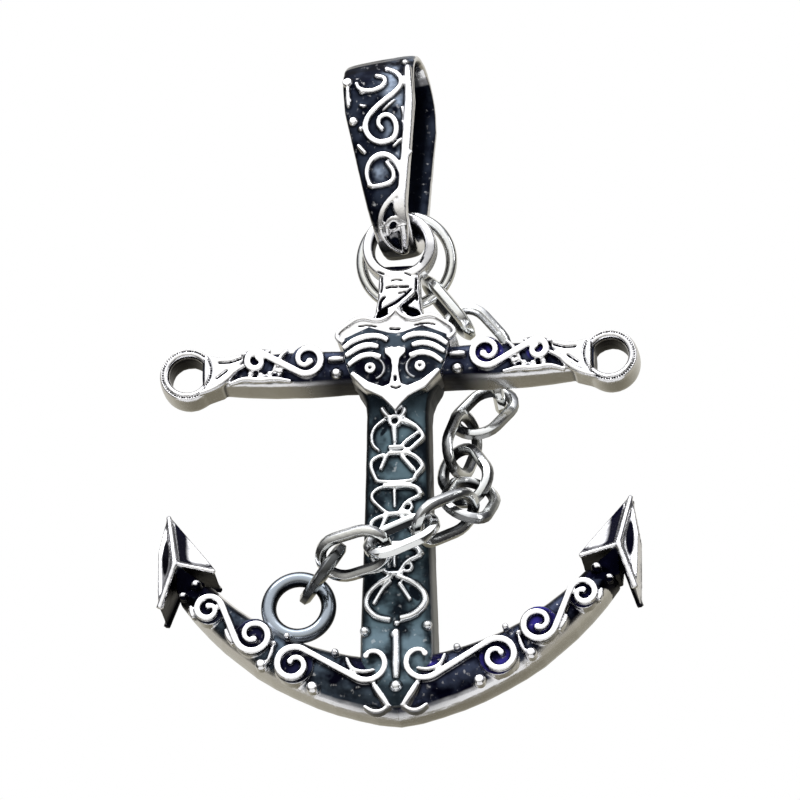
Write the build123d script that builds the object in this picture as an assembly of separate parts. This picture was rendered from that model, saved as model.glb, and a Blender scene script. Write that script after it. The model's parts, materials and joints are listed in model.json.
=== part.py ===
from build123d import *
from collections import namedtuple
import math
import os

os.makedirs("parts", exist_ok=True)

# Sizes in millimetres. +X is the wearer's left, -Y the front and +Z up.
# The origin is the inside top of the bail, where a necklace carries it.
bail_rise = 9.1
bail_foot_bend = 2.4
bail_foot_wall = 1.4
bail_head_bend = 2.9
bail_wall = 1.1
bail_foot_width = 2.9
bail_head_width = 6.1
bail_twist = -8.0
bail_lean = -4.5
bail_edge = 0.4
bail_shoulder = 0.85

eye_radius = 2.95
eye_bore = 2.03
eye_thickness = 1.7
eye_height = 10.3
hang_gap = 0.22
neck_width = 3.5
neck_flare = 5.2

stock_reach = 16.6
stock_height = 2.9
stock_depth = 4.0
stock_waist = 2.3
stock_corner = 2.4
end_radius = 2.3
end_bore = 1.46
end_thickness = 2.9

mask_width = 8.3
mask_crown = 2.6
mask_chin = 4.4
mask_depth = 1.1
coronet_height = 1.5
coronet_depth = 4.6

shank_width = 4.9
shank_foot_width = 6.0
shank_depth = 4.3
crown_drop = 29.6
crown_thickness = 4.9

arm_reach = 18.7
arm_rise = 18.1
arm_depth = 5.0
arm_edge = 0.7
bar_edge = 0.4
fluke_depth = 4.2
fluke_tip_depth = 0.9
fluke_ridge = 0.5
tang_depth = 2.8

relief = 0.3
relief_root = 0.4
band_width = 0.42
bead_radius = 0.42
bud_radius = 0.3
rim_width = 0.34
curl_tightening = 0.62

start_ring_wire = 0.9
start_ring_radius = 4.0
start_ring_shift = 0.25
start_ring_tilt = 14.0
end_ring_wire = 1.2
end_ring_radius = 2.95
end_ring_seat = 0.25
end_ring_forward = 1.2
end_ring_reach = 7.76
link_wire = 0.95
link_length = 6.4
link_width = 4.5
ring_gap = 0.2
ring_eye_gap = 0.2

Curl = namedtuple("Curl", "x z radius quarters")
Arc = namedtuple("Arc", "x z radius start sweep")
Bead = namedtuple("Bead", "x z size")
Stripe = namedtuple("Stripe", "inner_x inner_z peak_x peak_z outer_x outer_z")
Medallion = namedtuple("Medallion", "height width tall spokes")
Corner = namedtuple("Corner", "x z depth")
Joint = namedtuple("Joint", "x y z roll")
Cusp = namedtuple("Cusp", "x crown coronet")

# Curls of the bail: shares of its head width across and of its rise upwards.
bail_scrolls = [
    (Curl(-0.03, 1.11, 0.21, 5), Curl(-0.07, 0.66, 0.19, 5)),
    (Curl(-0.07, 0.17, 0.20, 5), Curl(0.00, -0.30, 0.12, 3)),
]
bail_beads = [
    Bead(-0.36, 0.96, 0.8),
    Bead(-0.36, 0.60, 0.9),
    Bead(-0.33, 0.36, 0.8),
    Bead(0.30, 0.80, 0.7),
    Bead(0.28, 0.52, 0.8),
    Bead(0.25, 0.28, 0.8),
    Bead(-0.18, -0.12, 0.6),
]

# Curls of the stock's right half: shares of its reach across and of its height upwards.
stock_scroll = (Curl(0.425, 0.13, 0.40, 4), Curl(0.665, 0.13, 0.26, 3))
stock_beads = [Bead(0.285, -0.28, 1.0), Bead(0.60, -0.33, 0.7), Bead(0.67, -0.33, 0.6)]

# Curls of the right arm: shares of its reach across and of its rise above the crown.
arm_scrolls = [
    (Curl(0.795, 0.515, 0.058, 5), Curl(0.600, 0.400, 0.069, 5)),
    (Curl(0.440, 0.245, 0.073, 5), Curl(0.130, 0.265, 0.082, 5)),
]
arm_beads = [
    Bead(0.835, 0.610, 0.9),
    Bead(0.850, 0.555, 0.8),
    Bead(0.545, 0.270, 1.0),
    Bead(0.340, 0.135, 1.0),
    Bead(0.455, 0.375, 0.6),
    Bead(0.245, 0.290, 0.6),
]

# Right half of the mask's outline: shares of half its width, and of its crown above the
# stock's centre line or its chin below it.
mask_outline = [
    (0.0, -1.0),
    (0.18, -0.78),
    (0.80, -0.40),
    (1.0, 0.20),
    (0.96, 0.55),
    (0.52, 1.0),
    (0.10, 0.70),
]

# Right half of the coronet's outline: shares of half the mask's width, of the mask's crown and
# of the coronet's own height on top of that.
coronet_outline = [
    Cusp(0.96, 0.30, 0.0),
    Cusp(0.98, 0.95, 0.0),
    Cusp(0.66, 1.0, 0.55),
    Cusp(0.30, 1.0, 0.15),
    Cusp(0.0, 1.0, 1.0),
]

# Mask stripes and eyes: shares of half the mask's width and of its height under the crown line.
mask_stripes = [
    Stripe(0.14, 0.69, 0.52, 0.83, 0.94, 0.70),
    Stripe(0.31, 0.60, 0.53, 0.68, 0.88, 0.56),
    Stripe(0.20, 0.52, 0.48, 0.58, 0.83, 0.45),
]
mask_eye = Bead(0.48, 0.42, 1.0)

# Medallions down the shank: shares of the shank's length below the stock and of its width.
# The legs of a spread pair stand at a share of the oval's half width and end short of its foot.
medallion_leg_spread = 0.55
medallion_leg_end = 0.7
medallions = [
    Medallion(0.245, 0.80, 0.085, "post"),
    Medallion(0.332, 0.80, 0.085, "spread"),
    Medallion(0.419, 0.80, 0.085, "post"),
    Medallion(0.506, 0.80, 0.085, "spread"),
    Medallion(0.593, 0.80, 0.085, "post"),
    Medallion(0.700, 0.84, 0.110, "spread"),
]
shank_beads = [
    Bead(-0.42, 0.765, 0.8),
    Bead(0.42, 0.765, 0.8),
    Bead(0.0, 0.790, 0.8),
    Bead(0.0, 0.925, 1.0),
]

# Outline of the right arm and of the tang that enters the fluke: shares of its reach and rise.
arm_outline = {
    "crown": (0.0, 0.0),
    "belly": (0.529, 0.204),
    "outer end": (0.930, 0.619),
    "inner end": (0.775, 0.641),
    "hollow": (0.428, 0.392),
    "throat": (0.0, 0.2935),
}
tang_outline = [(0.75, 0.53), (0.88, 0.53), (0.972, 0.70), (0.940, 0.795), (0.880, 0.775)]

# Fluke on the right arm: shares of the arm's reach and rise, and of half the fluke's depth.
fluke_corners = {
    "tip": Corner(0.968, 1.000, 0.0),
    "outer": Corner(1.010, 0.800, 0.65),
    "barb": Corner(1.000, 0.535, 1.0),
    "notch": Corner(0.926, 0.735, 1.0),
    "inner": Corner(0.757, 0.700, 1.0),
}

# The chain's route, by the few points where one link meets the next. Each is given by how far
# it is off an even walk in straight steps from the start ring's centre to the end ring's. The
# roll is how far the link that starts there is off a quarter turn from the one before.
chain_joints = [
    Joint(2.10, 0.55, -2.40, 0),
    Joint(4.98, 1.46, -2.36, 0),
    Joint(7.81, 2.77, -1.92, 0),
    Joint(9.23, 3.19, -2.78, 20),
    Joint(7.76, 1.90, -3.14, 20),
    Joint(7.59, 0.22, -4.00, 20),
    Joint(10.22, -1.37, -4.46, 20),
    Joint(10.25, -3.56, -4.33, 20),
    Joint(8.27, -4.74, -3.29, 10),
    Joint(5.10, -4.43, -2.15, 0),
    Joint(2.23, -3.11, -0.01, 0),
    Joint(1.11, 0.40, 1.83, 0),
]
first_link_face = (0.7, 0.0, 0.7)


# Plates, bands and beads

def plate(points, back, front):
    """A flat outline of (x, z) points, from y = back forward to y = front."""
    corners = [Vector(x, back, z) for x, z in points]
    return Solid.extrude(Face(Wire.make_polygon(corners)), Vector(0, front - back, 0))


def mirrored(points):
    """The right half of an outline, closed with its mirror image."""
    return points + [(-x, z) for x, z in reversed(points) if x > 0]


def disc(x, z, radius, back, front):
    centre = Plane(origin=(x, back, z), x_dir=(1, 0, 0), z_dir=(0, -1, 0))
    return Solid.make_cylinder(radius, back - front, centre)


def bead(x, z, radius, y):
    return Pos(x, y, z) * Sphere(radius)


def arc_point(arc, share, side):
    angle = math.radians(arc.start + arc.sweep * share)
    radius = arc.radius - side * math.copysign(1, arc.sweep)
    return arc.x + radius * math.cos(angle), arc.z + radius * math.sin(angle)


def spiral(curl, start, sense):
    """Quarter arcs that wind inwards from the angle start, each tighter than the last."""
    arcs = []
    x, z = curl.x, curl.z
    tighten = curl_tightening * curl.radius / curl.quarters
    radius = curl.radius
    for quarter in range(curl.quarters):
        angle = start + sense * 90 * quarter
        arcs.append(Arc(x, z, radius, angle, sense * 90))
        turn = math.radians(angle + sense * 90)
        x += tighten * math.cos(turn)
        z += tighten * math.sin(turn)
        radius -= tighten
    return arcs


def scroll_path(first, second, sense):
    """Two curls joined by the line that touches both, as arcs in order."""
    across = second.x - first.x
    up = second.z - first.z
    spread = math.acos((first.radius + second.radius) / math.hypot(across, up))
    normal = math.degrees(math.atan2(up, across) + sense * spread)
    lead = [
        Arc(a.x, a.z, a.radius, a.start + a.sweep, -a.sweep)
        for a in reversed(spiral(first, normal, sense))
    ]
    return lead + spiral(second, normal + 180, sense)


def arc_through(start, middle, end):
    """The arc through three (x, z) points."""
    (ax, az), (bx, bz), (cx, cz) = start, middle, end
    twice = 2 * (ax * (bz - cz) + bx * (cz - az) + cx * (az - bz))
    aa, bb, cc = ax * ax + az * az, bx * bx + bz * bz, cx * cx + cz * cz
    x = (aa * (bz - cz) + bb * (cz - az) + cc * (az - bz)) / twice
    z = (aa * (cx - bx) + bb * (ax - cx) + cc * (bx - ax)) / twice
    first = math.degrees(math.atan2(az - z, ax - x))
    last = math.degrees(math.atan2(cz - z, cx - x))
    sweep = (last - first) % 360 if twice > 0 else -((first - last) % 360)
    return Arc(x, z, math.hypot(ax - x, az - z), first, sweep)


def side_edges(arcs, side, y):
    """The edges along one side of a path of arcs, with straight lines where arcs don't meet."""
    edges = []
    last = None
    for arc in arcs:
        points = [arc_point(arc, share, side) for share in (0, 0.5, 1)]
        begin, middle, end = (Vector(x, y, z) for x, z in points)
        if last is not None and (begin - last).length > 1e-6:
            edges.append(Edge.make_line(last, begin))
        edges.append(Edge.make_three_point_arc(begin, middle, end))
        last = end
    return edges


def cap(arc, share, width, y):
    """The round end of a band."""
    angle = math.radians(arc.start + arc.sweep * share)
    forward = math.copysign(1, arc.sweep) * (1 if share == 1 else -1)
    ahead = Vector(-math.sin(angle), 0, math.cos(angle)) * forward
    sides = [arc_point(arc, share, side) for side in (width / 2, -width / 2)]
    left, right = (Vector(x, y, z) for x, z in sides)
    return Edge.make_three_point_arc(left, (left + right) / 2 + ahead * (width / 2), right)


def band(arcs, width, back, front):
    """A raised band of one width along a path of arcs, with round ends."""
    edges = side_edges(arcs, width / 2, back)
    edges.append(cap(arcs[-1], 1, width, back))
    edges += side_edges(arcs, -width / 2, back)
    edges.append(cap(arcs[0], 0, width, back))
    return Solid.extrude(Face(Wire(edges)), Vector(0, front - back, 0))


def scroll(first, second, sense, back, front):
    """A band with a curl at each end, each curl closed by a round bud."""
    arcs = scroll_path(first, second, sense)
    buds = [arc_point(arcs[0], 0, 0), arc_point(arcs[-1], 1, 0)]
    pieces = [disc(x, z, bud_radius, back, front) for x, z in buds]
    return [band(arcs, band_width, back, front), *pieces]


def oval_rim(x, z, half_width, half_height, width, back, front):
    plane = Plane(origin=(x, back, z), x_dir=(1, 0, 0), z_dir=(0, -1, 0))
    outer = Wire.make_ellipse(half_width, half_height, plane)
    inner = Wire.make_ellipse(half_width - width, half_height - width, plane)
    return Solid.extrude(Face(outer, [inner]), Vector(0, front - back, 0))


def faceted(triangles):
    faces = [Face(Wire.make_polygon(corners)) for corners in triangles]
    return Solid(Shell(faces))


def softened(block, half, radius):
    """Rounds the long edges along the front and back of a block."""
    edges = [
        edge
        for edge in block.edges()
        if abs(abs((edge @ 0).Y) - half) < 1e-6
        and abs((edge @ 0).Y - (edge @ 1).Y) < 1e-6
        and edge.length > 8 * radius
    ]
    return block.fillet(radius, edges)


def joined(pieces):
    return pieces[0].fuse(*pieces[1:]).clean()


# The anchor, drawn with the centre of its stock as zero

def eye():
    half = eye_thickness / 2
    ring = disc(0, eye_height, eye_radius, half, -half)
    neck_top = eye_height - eye_bore
    neck = plate(
        [
            (-neck_flare / 2, stock_height / 4),
            (neck_flare / 2, stock_height / 4),
            (neck_width / 2, (stock_height + neck_top) / 2),
            (neck_width / 2, neck_top),
            (-neck_width / 2, neck_top),
            (-neck_width / 2, (stock_height + neck_top) / 2),
        ],
        half,
        -half,
    )
    bore = disc(0, eye_height, eye_bore, eye_thickness, -eye_thickness)
    return ring.fuse(neck).cut(bore)


def stock():
    half = stock_height / 2
    waist = stock_waist / 2
    knee = stock_reach - 2 * end_radius
    bar = plate(
        [
            (-stock_reach, -waist),
            (-knee, -half),
            (knee, -half),
            (stock_reach, -waist),
            (stock_reach, waist),
            (knee, half),
            (-knee, half),
            (-stock_reach, waist),
        ],
        stock_depth / 2,
        -stock_depth / 2,
    )
    bar = softened(bar, stock_depth / 2, bar_edge)
    thinner = end_thickness / 2
    slots = [
        plate(
            [
                (side * (stock_reach - end_radius), -2 * end_radius),
                (side * (stock_reach + 2 * end_radius), -2 * end_radius),
                (side * (stock_reach + 2 * end_radius), 2 * end_radius),
                (side * (stock_reach - end_radius), 2 * end_radius),
            ],
            face * stock_depth,
            face * thinner,
        )
        for side in (-1, 1)
        for face in (-1, 1)
    ]
    bar = bar.cut(*slots)
    eyes = [disc(side * stock_reach, 0, end_radius, thinner, -thinner) for side in (-1, 1)]
    bosses = [
        disc(side * curl.x, curl.z, curl.radius + band_width / 2, stock_depth / 2, -stock_depth / 2)
        for side in (-1, 1)
        for curl in stock_curls()
    ]
    bores = [disc(side * stock_reach, 0, end_bore, stock_depth, -stock_depth) for side in (-1, 1)]
    return bar.fuse(*eyes, *bosses).cut(*bores)


def stock_curls():
    return [
        Curl(c.x * stock_reach, c.z * stock_height, c.radius * stock_height, c.quarters)
        for c in stock_scroll
    ]


def shank():
    half = shank_width / 2
    foot = shank_foot_width / 2
    bottom = -crown_drop + crown_thickness / 2
    bar = softened(
        plate(
            [(-foot, bottom), (foot, bottom), (half, 0), (-half, 0)],
            shank_depth / 2,
            -shank_depth / 2,
        ),
        shank_depth / 2,
        bar_edge,
    )
    under = -stock_height / 2
    webs = []
    for side in (-1, 1):
        web = plate(
            [
                (0, under + relief_root),
                (side * (half + stock_corner), under + relief_root),
                (side * (half + stock_corner), under - stock_corner),
                (0, under - stock_corner),
            ],
            stock_depth / 2,
            -stock_depth / 2,
        )
        hollow = disc(
            side * (half + stock_corner),
            under - stock_corner,
            stock_corner,
            stock_depth,
            -stock_depth,
        )
        webs.append(web.cut(hollow))
    return bar.fuse(*webs)


def arm_point(x, z, side=1):
    return side * x * arm_reach, z * arm_rise - crown_drop


def arm_top(x):
    """The height of an arm's upper edge at a distance x from the centre line."""
    arc = arc_through(*(arm_point(*arm_outline[name]) for name in ("inner end", "hollow", "throat")))
    return arc.z - math.sqrt(arc.radius ** 2 - (x - arc.x) ** 2)


def arm(side):
    """One arm of the crescent, from the centre line out, with a tang for its fluke."""
    half = arm_depth / 2
    corners = {}
    for name, (x, z) in arm_outline.items():
        x, z = arm_point(x, z, side)
        corners[name] = Vector(x, half, z)
    edges = [
        Edge.make_three_point_arc(corners["crown"], corners["belly"], corners["outer end"]),
        Edge.make_line(corners["outer end"], corners["inner end"]),
        Edge.make_three_point_arc(corners["inner end"], corners["hollow"], corners["throat"]),
        Edge.make_line(corners["throat"], corners["crown"]),
    ]
    block = Solid.extrude(Face(Wire(edges)), Vector(0, -arm_depth, 0))
    block = block.fillet(arm_edge, block.edges().filter_by(GeomType.CIRCLE))
    tang = [arm_point(x, z, side) for x, z in tang_outline]
    return block.fuse(plate(tang, tang_depth / 2, -tang_depth / 2))


def fluke(side):
    """A barbed head: two sloping panels that meet in a ridge, front and back."""
    reach = fluke_depth / 2
    front = {}
    back = {}
    for name, corner in fluke_corners.items():
        x, z = arm_point(corner.x, corner.z, side)
        depth = fluke_tip_depth / 2 + (reach - fluke_tip_depth / 2) * corner.depth
        if name == "notch":
            depth += fluke_ridge
        front[name] = Vector(x, -depth, z)
        back[name] = Vector(x, depth, z)
    rim = ["tip", "outer", "barb", "notch", "inner"]
    triangles = []
    for face in (front, back):
        triangles += [
            (face["tip"], face["outer"], face["notch"]),
            (face["outer"], face["barb"], face["notch"]),
            (face["tip"], face["notch"], face["inner"]),
        ]
    for here, there in zip(rim, rim[1:] + rim[:1]):
        triangles.append((front[here], front[there], back[there]))
        triangles.append((front[here], back[there], back[here]))
    return faceted(triangles)


def mask():
    half = mask_width / 2
    back = -stock_depth / 2 + relief_root
    front = -stock_depth / 2 - mask_depth
    outline = [(x * half, z * (mask_crown if z > 0 else mask_chin)) for x, z in mask_outline]
    pieces = [plate(mirrored(outline), back, front)]
    tall = mask_crown + mask_chin

    def place(x, z):
        return x * half, z * tall - mask_chin

    for side in (-1, 1):
        for stripe in mask_stripes:
            points = [
                place(side * stripe.inner_x, stripe.inner_z),
                place(side * stripe.peak_x, stripe.peak_z),
                place(side * stripe.outer_x, stripe.outer_z),
            ]
            line = [arc_through(*points)]
            pieces.append(band(line, band_width, front + relief_root, front - relief))
        x, z = place(side * mask_eye.x, mask_eye.z)
        pieces.append(bead(x, z, bead_radius * mask_eye.size, front))
    return joined(pieces)


def coronet():
    """The cusped collar between the neck and the mask."""
    half = mask_width / 2
    outline = [
        (cusp.x * half, cusp.crown * mask_crown + cusp.coronet * coronet_height)
        for cusp in coronet_outline
    ]
    front = -stock_depth / 2 - mask_depth / 2
    return plate(mirrored(outline), front + coronet_depth, front)


def shank_relief():
    pieces = []
    back = -shank_depth / 2 + relief_root
    front = -shank_depth / 2 - relief

    def half_width(share):
        return (shank_width + (shank_foot_width - shank_width) * share) / 2

    for medallion in medallions:
        z = -medallion.height * crown_drop
        wide = half_width(medallion.height) * medallion.width
        tall = medallion.tall * crown_drop / 2
        pieces.append(oval_rim(0, z, wide, tall, rim_width, back, front))
        reach = rim_width / 2
        if medallion.spokes == "post":
            low, high = z - tall + reach, z + tall - reach
            corners = [(-reach, low), (reach, low), (reach, high), (-reach, high)]
            pieces.append(plate(corners, back, front))
        else:
            for side in (-1, 1):
                pieces.append(plate(
                    [
                        (side * reach, z + tall - reach),
                        (side * 3 * reach, z + tall - reach),
                        (side * (medallion_leg_spread * wide + reach), z - medallion_leg_end * tall),
                        (side * (medallion_leg_spread * wide - reach), z - medallion_leg_end * tall),
                    ],
                    back,
                    front,
                ))
    for spot in shank_beads:
        x = spot.x * 2 * half_width(spot.z)
        depth = max(shank_depth, arm_depth if spot.z > 0.85 else 0) / 2
        pieces.append(bead(x, -spot.z * crown_drop, bead_radius * spot.size, -depth))
    return pieces


def arm_relief():
    pieces = []
    back = -arm_depth / 2 + relief_root
    front = -arm_depth / 2 - relief
    for side in (-1, 1):
        for pair in arm_scrolls:
            curls = []
            for curl in pair:
                x, z = arm_point(curl.x, curl.z, side)
                curls.append(Curl(x, z, curl.radius * arm_rise, curl.quarters))
            pieces += scroll(*curls, -side, back, front)
        for spot in arm_beads:
            x, z = arm_point(spot.x, spot.z, side)
            pieces.append(bead(x, z, bead_radius * spot.size, -arm_depth / 2))
    return pieces


def stock_relief():
    pieces = []
    back = -stock_depth / 2 + relief_root
    front = -stock_depth / 2 - relief
    for side in (-1, 1):
        curls = [Curl(side * c.x, c.z, c.radius, c.quarters) for c in stock_curls()]
        pieces += scroll(*curls, -side, back, front)
        for spot in stock_beads:
            x, z = side * spot.x * stock_reach, spot.z * stock_height
            pieces.append(bead(x, z, bead_radius * spot.size, -stock_depth / 2))
    return pieces


def end_ring_centre():
    foot = arm_top(end_ring_reach)
    return Vector(-end_ring_reach, -end_ring_forward, foot + end_ring_radius - end_ring_seat)


def end_ring():
    """The heavy ring soldered on one arm's upper edge, where the chain ends."""
    plane = Plane(origin=end_ring_centre(), z_dir=(0, -1, 0))
    return Solid.make_torus(end_ring_radius - end_ring_wire / 2, end_ring_wire / 2, plane)


def anchor():
    limbs = [arm(-1), arm(1), fluke(-1), fluke(1)]
    body = joined([stock(), shank(), *limbs, eye(), coronet(), mask(), end_ring()])
    return joined([body, *stock_relief(), *shank_relief(), *arm_relief()])


# The bail, drawn with the centre of its foot's bend as zero

def loop(foot, head):
    """The outline in the YZ plane round a bend at the foot and a wider one at the head."""
    slope = math.asin((head - foot) / bail_rise)
    out = math.cos(slope)
    down = math.sin(slope)
    low = Vector(0, -foot * out, -foot * down)
    high = Vector(0, -head * out, bail_rise - head * down)
    low_back = Vector(0, -low.Y, low.Z)
    high_back = Vector(0, -high.Y, high.Z)
    return Face(Wire([
        Edge.make_three_point_arc(low_back, Vector(0, 0, -foot), low),
        Edge.make_line(low, high),
        Edge.make_three_point_arc(high, Vector(0, 0, bail_rise + head), high_back),
        Edge.make_line(high_back, low_back),
    ]))


def loop_solid(foot, head):
    width = 2 * bail_head_width
    face = loop(foot, head).moved(Location((-width / 2, 0, 0)))
    return Solid.extrude(face, Vector(width, 0, 0))


def bail():
    foot = bail_foot_bend + bail_foot_wall
    head = bail_head_bend + bail_wall
    top = bail_rise + head
    outside = loop_solid(foot, head)
    inside = loop_solid(bail_foot_bend, bail_head_bend)
    low = bail_foot_width / 2
    high = bail_head_width / 2
    right = [(low, -2 * foot), (low, -foot / 2), (high, bail_shoulder * bail_rise), (high, 2 * top)]
    front_view = plate(mirrored(right), 2 * head, -2 * head)
    body = (outside - inside) & front_view
    inner = loop(bail_foot_bend, bail_head_bend).outer_wire()
    rims = [
        edge
        for edge in body.edges()
        if inner.distance(Vertex(0, (edge @ 0.5).Y, (edge @ 0.5).Z)) > 0.75 * bail_wall
        and abs((edge @ 0).X + (edge @ 1).X) > bail_edge
    ]
    body = body.fillet(bail_edge, rims)
    skin = loop_solid(foot + relief, head + relief).cut(loop_solid(foot - relief_root, head - relief_root))
    marks = []
    for pair in bail_scrolls:
        curls = [
            Curl(c.x * bail_head_width, c.z * bail_rise, c.radius * bail_head_width, c.quarters)
            for c in pair
        ]
        marks += scroll(*curls, 1, 0, -2 * head)
    for spot in bail_beads:
        x, z = spot.x * bail_head_width, spot.z * bail_rise
        marks.append(disc(x, z, bead_radius * spot.size, 0, -2 * head))
    raised = [piece for mark in marks for piece in (mark & skin).solids()]
    return joined([body, *raised])


def hung(shape):
    """Turns the bail as it hangs, about the centre of its foot's bend."""
    return Rotation(0, bail_lean, 0) * (Rotation(0, 0, bail_twist) * shape)


# Rings and links

def start_ring():
    radius = start_ring_radius - start_ring_wire / 2
    return Rotation(start_ring_tilt, 0, 0) * Solid.make_torus(radius, start_ring_wire / 2, Plane.XZ)


def link():
    """An oval of round wire, long side along X, lying in the XY plane."""
    bend = (link_width - link_wire) / 2
    reach = link_length / 2 - link_wire / 2 - bend
    end = Vector(reach + bend, 0, 0)
    signs = [(-1, -1), (1, -1), (1, 1), (-1, 1)]
    corners = [Vector(x * reach, y * bend, 0) for x, y in signs]
    path = Wire([
        Edge.make_line(corners[0], corners[1]),
        Edge.make_three_point_arc(corners[1], end, corners[2]),
        Edge.make_line(corners[2], corners[3]),
        Edge.make_three_point_arc(corners[3], -end, corners[0]),
    ])
    section = Face(Wire.make_circle(link_wire / 2, Plane(origin=(0, -bend, 0), z_dir=(1, 0, 0))))
    return Solid.sweep(section, path)


def chain(start, finish):
    """Each link spans two joints and is turned about a quarter turn from the one before."""
    links = []
    step = (finish - start) / (len(chain_joints) - 1)
    places = [start + step * count + Vector(*joint[:3]) for count, joint in enumerate(chain_joints)]
    face = Vector(*first_link_face)
    for begin, end, joint in zip(places, places[1:], chain_joints):
        along = (end - begin).normalized()
        face = (face - along * face.dot(along)).rotate(Axis((0, 0, 0), along), joint.roll).normalized()
        place = Plane(origin=(begin + end) / 2, x_dir=along, z_dir=face)
        links.append(place.location * link())
        face = along.cross(face)
    return links


# Placing and writing

foot_half = bail_foot_width / 2
foot_turn = foot_half * math.sin(math.radians(abs(bail_twist)))
foot_rise = foot_half * math.sin(math.radians(abs(bail_lean)))
eye_drop = math.sqrt((bail_foot_bend - hang_gap) ** 2 - (eye_thickness / 2 + foot_turn) ** 2)
hang_drop = eye_drop + math.sqrt(eye_bore ** 2 - foot_half ** 2) - foot_rise
hook = Vector(0, 0, bail_rise + bail_head_bend).rotate(Axis.Z, bail_twist).rotate(Axis.Y, bail_lean)
pivot = -hook
eye_shift = -(bail_foot_bend + bail_foot_wall / 2) * math.sin(math.radians(bail_lean))
stock_centre = pivot + Vector(eye_shift, 0, -hang_drop - eye_height)

ring_back = eye_thickness / 2 + ring_eye_gap + start_ring_wire / 2
ring_bend = start_ring_radius - start_ring_wire / 2
ring_clear = bail_foot_bend - ring_gap - start_ring_wire / 2
ring_seat = math.sqrt(ring_clear ** 2 - (ring_back + foot_turn) ** 2) - foot_rise
ring_hang = math.sqrt(ring_bend ** 2 - (foot_half + start_ring_shift) ** 2)
ring_tilt = math.radians(start_ring_tilt)
ring_centre = Vector(
    eye_shift + start_ring_shift,
    ring_back + ring_hang * math.sin(ring_tilt),
    -ring_seat - ring_hang * math.cos(ring_tilt),
)

parts = {"bail": Location(pivot) * hung(bail())}
parts["anchor"] = Location(stock_centre) * anchor()
parts["start_ring"] = Location(pivot + ring_centre) * start_ring()
chain_start = pivot + ring_centre - stock_centre
for number, piece in enumerate(chain(chain_start, end_ring_centre()), 1):
    parts[f"link_{number:02d}"] = Location(stock_centre) * piece

for name, shape in parts.items():
    export_step(shape, f"parts/{name}.step")
    print(name, round(shape.volume, 2))
print("pivot", pivot, "stock centre", stock_centre, "start ring", pivot + ring_centre)
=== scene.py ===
import json
import math

import bmesh
import bpy
import numpy as np
from mathutils import Matrix, Vector
from mathutils.bvhtree import BVHTree


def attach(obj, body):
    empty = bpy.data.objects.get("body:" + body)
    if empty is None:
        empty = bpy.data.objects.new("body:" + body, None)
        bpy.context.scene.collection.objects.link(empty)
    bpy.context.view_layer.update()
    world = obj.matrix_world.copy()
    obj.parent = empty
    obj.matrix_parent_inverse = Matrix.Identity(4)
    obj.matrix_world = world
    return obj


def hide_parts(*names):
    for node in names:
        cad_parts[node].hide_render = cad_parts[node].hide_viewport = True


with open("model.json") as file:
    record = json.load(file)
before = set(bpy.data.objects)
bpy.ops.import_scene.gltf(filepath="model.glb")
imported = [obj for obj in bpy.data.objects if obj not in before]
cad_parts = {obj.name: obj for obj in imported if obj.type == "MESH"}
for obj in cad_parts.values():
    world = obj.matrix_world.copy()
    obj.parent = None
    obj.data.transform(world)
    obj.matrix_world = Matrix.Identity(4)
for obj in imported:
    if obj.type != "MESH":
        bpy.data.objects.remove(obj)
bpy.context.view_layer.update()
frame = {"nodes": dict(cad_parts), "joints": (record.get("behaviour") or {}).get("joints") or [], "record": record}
nodes = frame["nodes"]
print("frame loaded,", len(nodes), "nodes")

# Pieces are drawn in millimetres. The anchor is drawn with the centre of its stock as zero,
# and the bail with the centre of its foot's bend as zero. -Y is the front and +Z is up.
millimetre = 0.001
mounts = {mount["name"]: Vector(mount["pos_m"]) for mount in frame["record"]["mounts"]}
stockCentre = (mounts["left_stock_eye"] + mounts["right_stock_eye"]) / 2
hangPoint = Vector(frame["joints"][0]["pos_m"])
anchorPlace = Matrix.Translation(stockCentre) @ Matrix.Scale(millimetre, 4)
bailHang = {"twist": -8.0, "lean": -4.5}
bailTurn = (
    Matrix.Rotation(math.radians(bailHang["lean"]), 4, "Y")
    @ Matrix.Rotation(math.radians(bailHang["twist"]), 4, "Z")
)
bailPlace = Matrix.Translation(hangPoint) @ bailTurn @ Matrix.Scale(millimetre, 4)


# Shapes that every casting uses

roundness = {"bar": 32, "wire": 24, "turn": 72, "bead": 3, "line": 2, "circle": 24}
lineShape = {
    "cornerCut": 0.25, "low": 0.9,  # share cut from a corner, and width of a ribbon's lower line
    "curlEnd": 0.24, "curlWind": 1.5, "curlStep": 15,  # how tight a curl ends and how it winds in
}


def newObject(name, data):
    made = bpy.data.objects.new(name, data)
    bpy.context.scene.collection.objects.link(made)
    return made


def madeVerts(made):
    return [item for item in made if isinstance(item, bmesh.types.BMVert)]


def madeEdges(made):
    return [item for item in made if isinstance(item, bmesh.types.BMEdge)]


def edgesOf(verts):
    return list({edge for vert in verts for edge in vert.link_edges})


def squared(value, power):
    # moves a coordinate of a circle out towards a square with rounded corners
    return math.copysign(abs(value) ** (2 / power), value)


def station(centre, across, depth):
    # where a rounded outline of half size 1 sits, and how wide and deep it is there
    across, depth = Vector(across), Vector(depth)
    place = Matrix((across, depth, across.cross(depth).normalized())).transposed().to_4x4()
    place.translation = Vector(centre)
    return place


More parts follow.
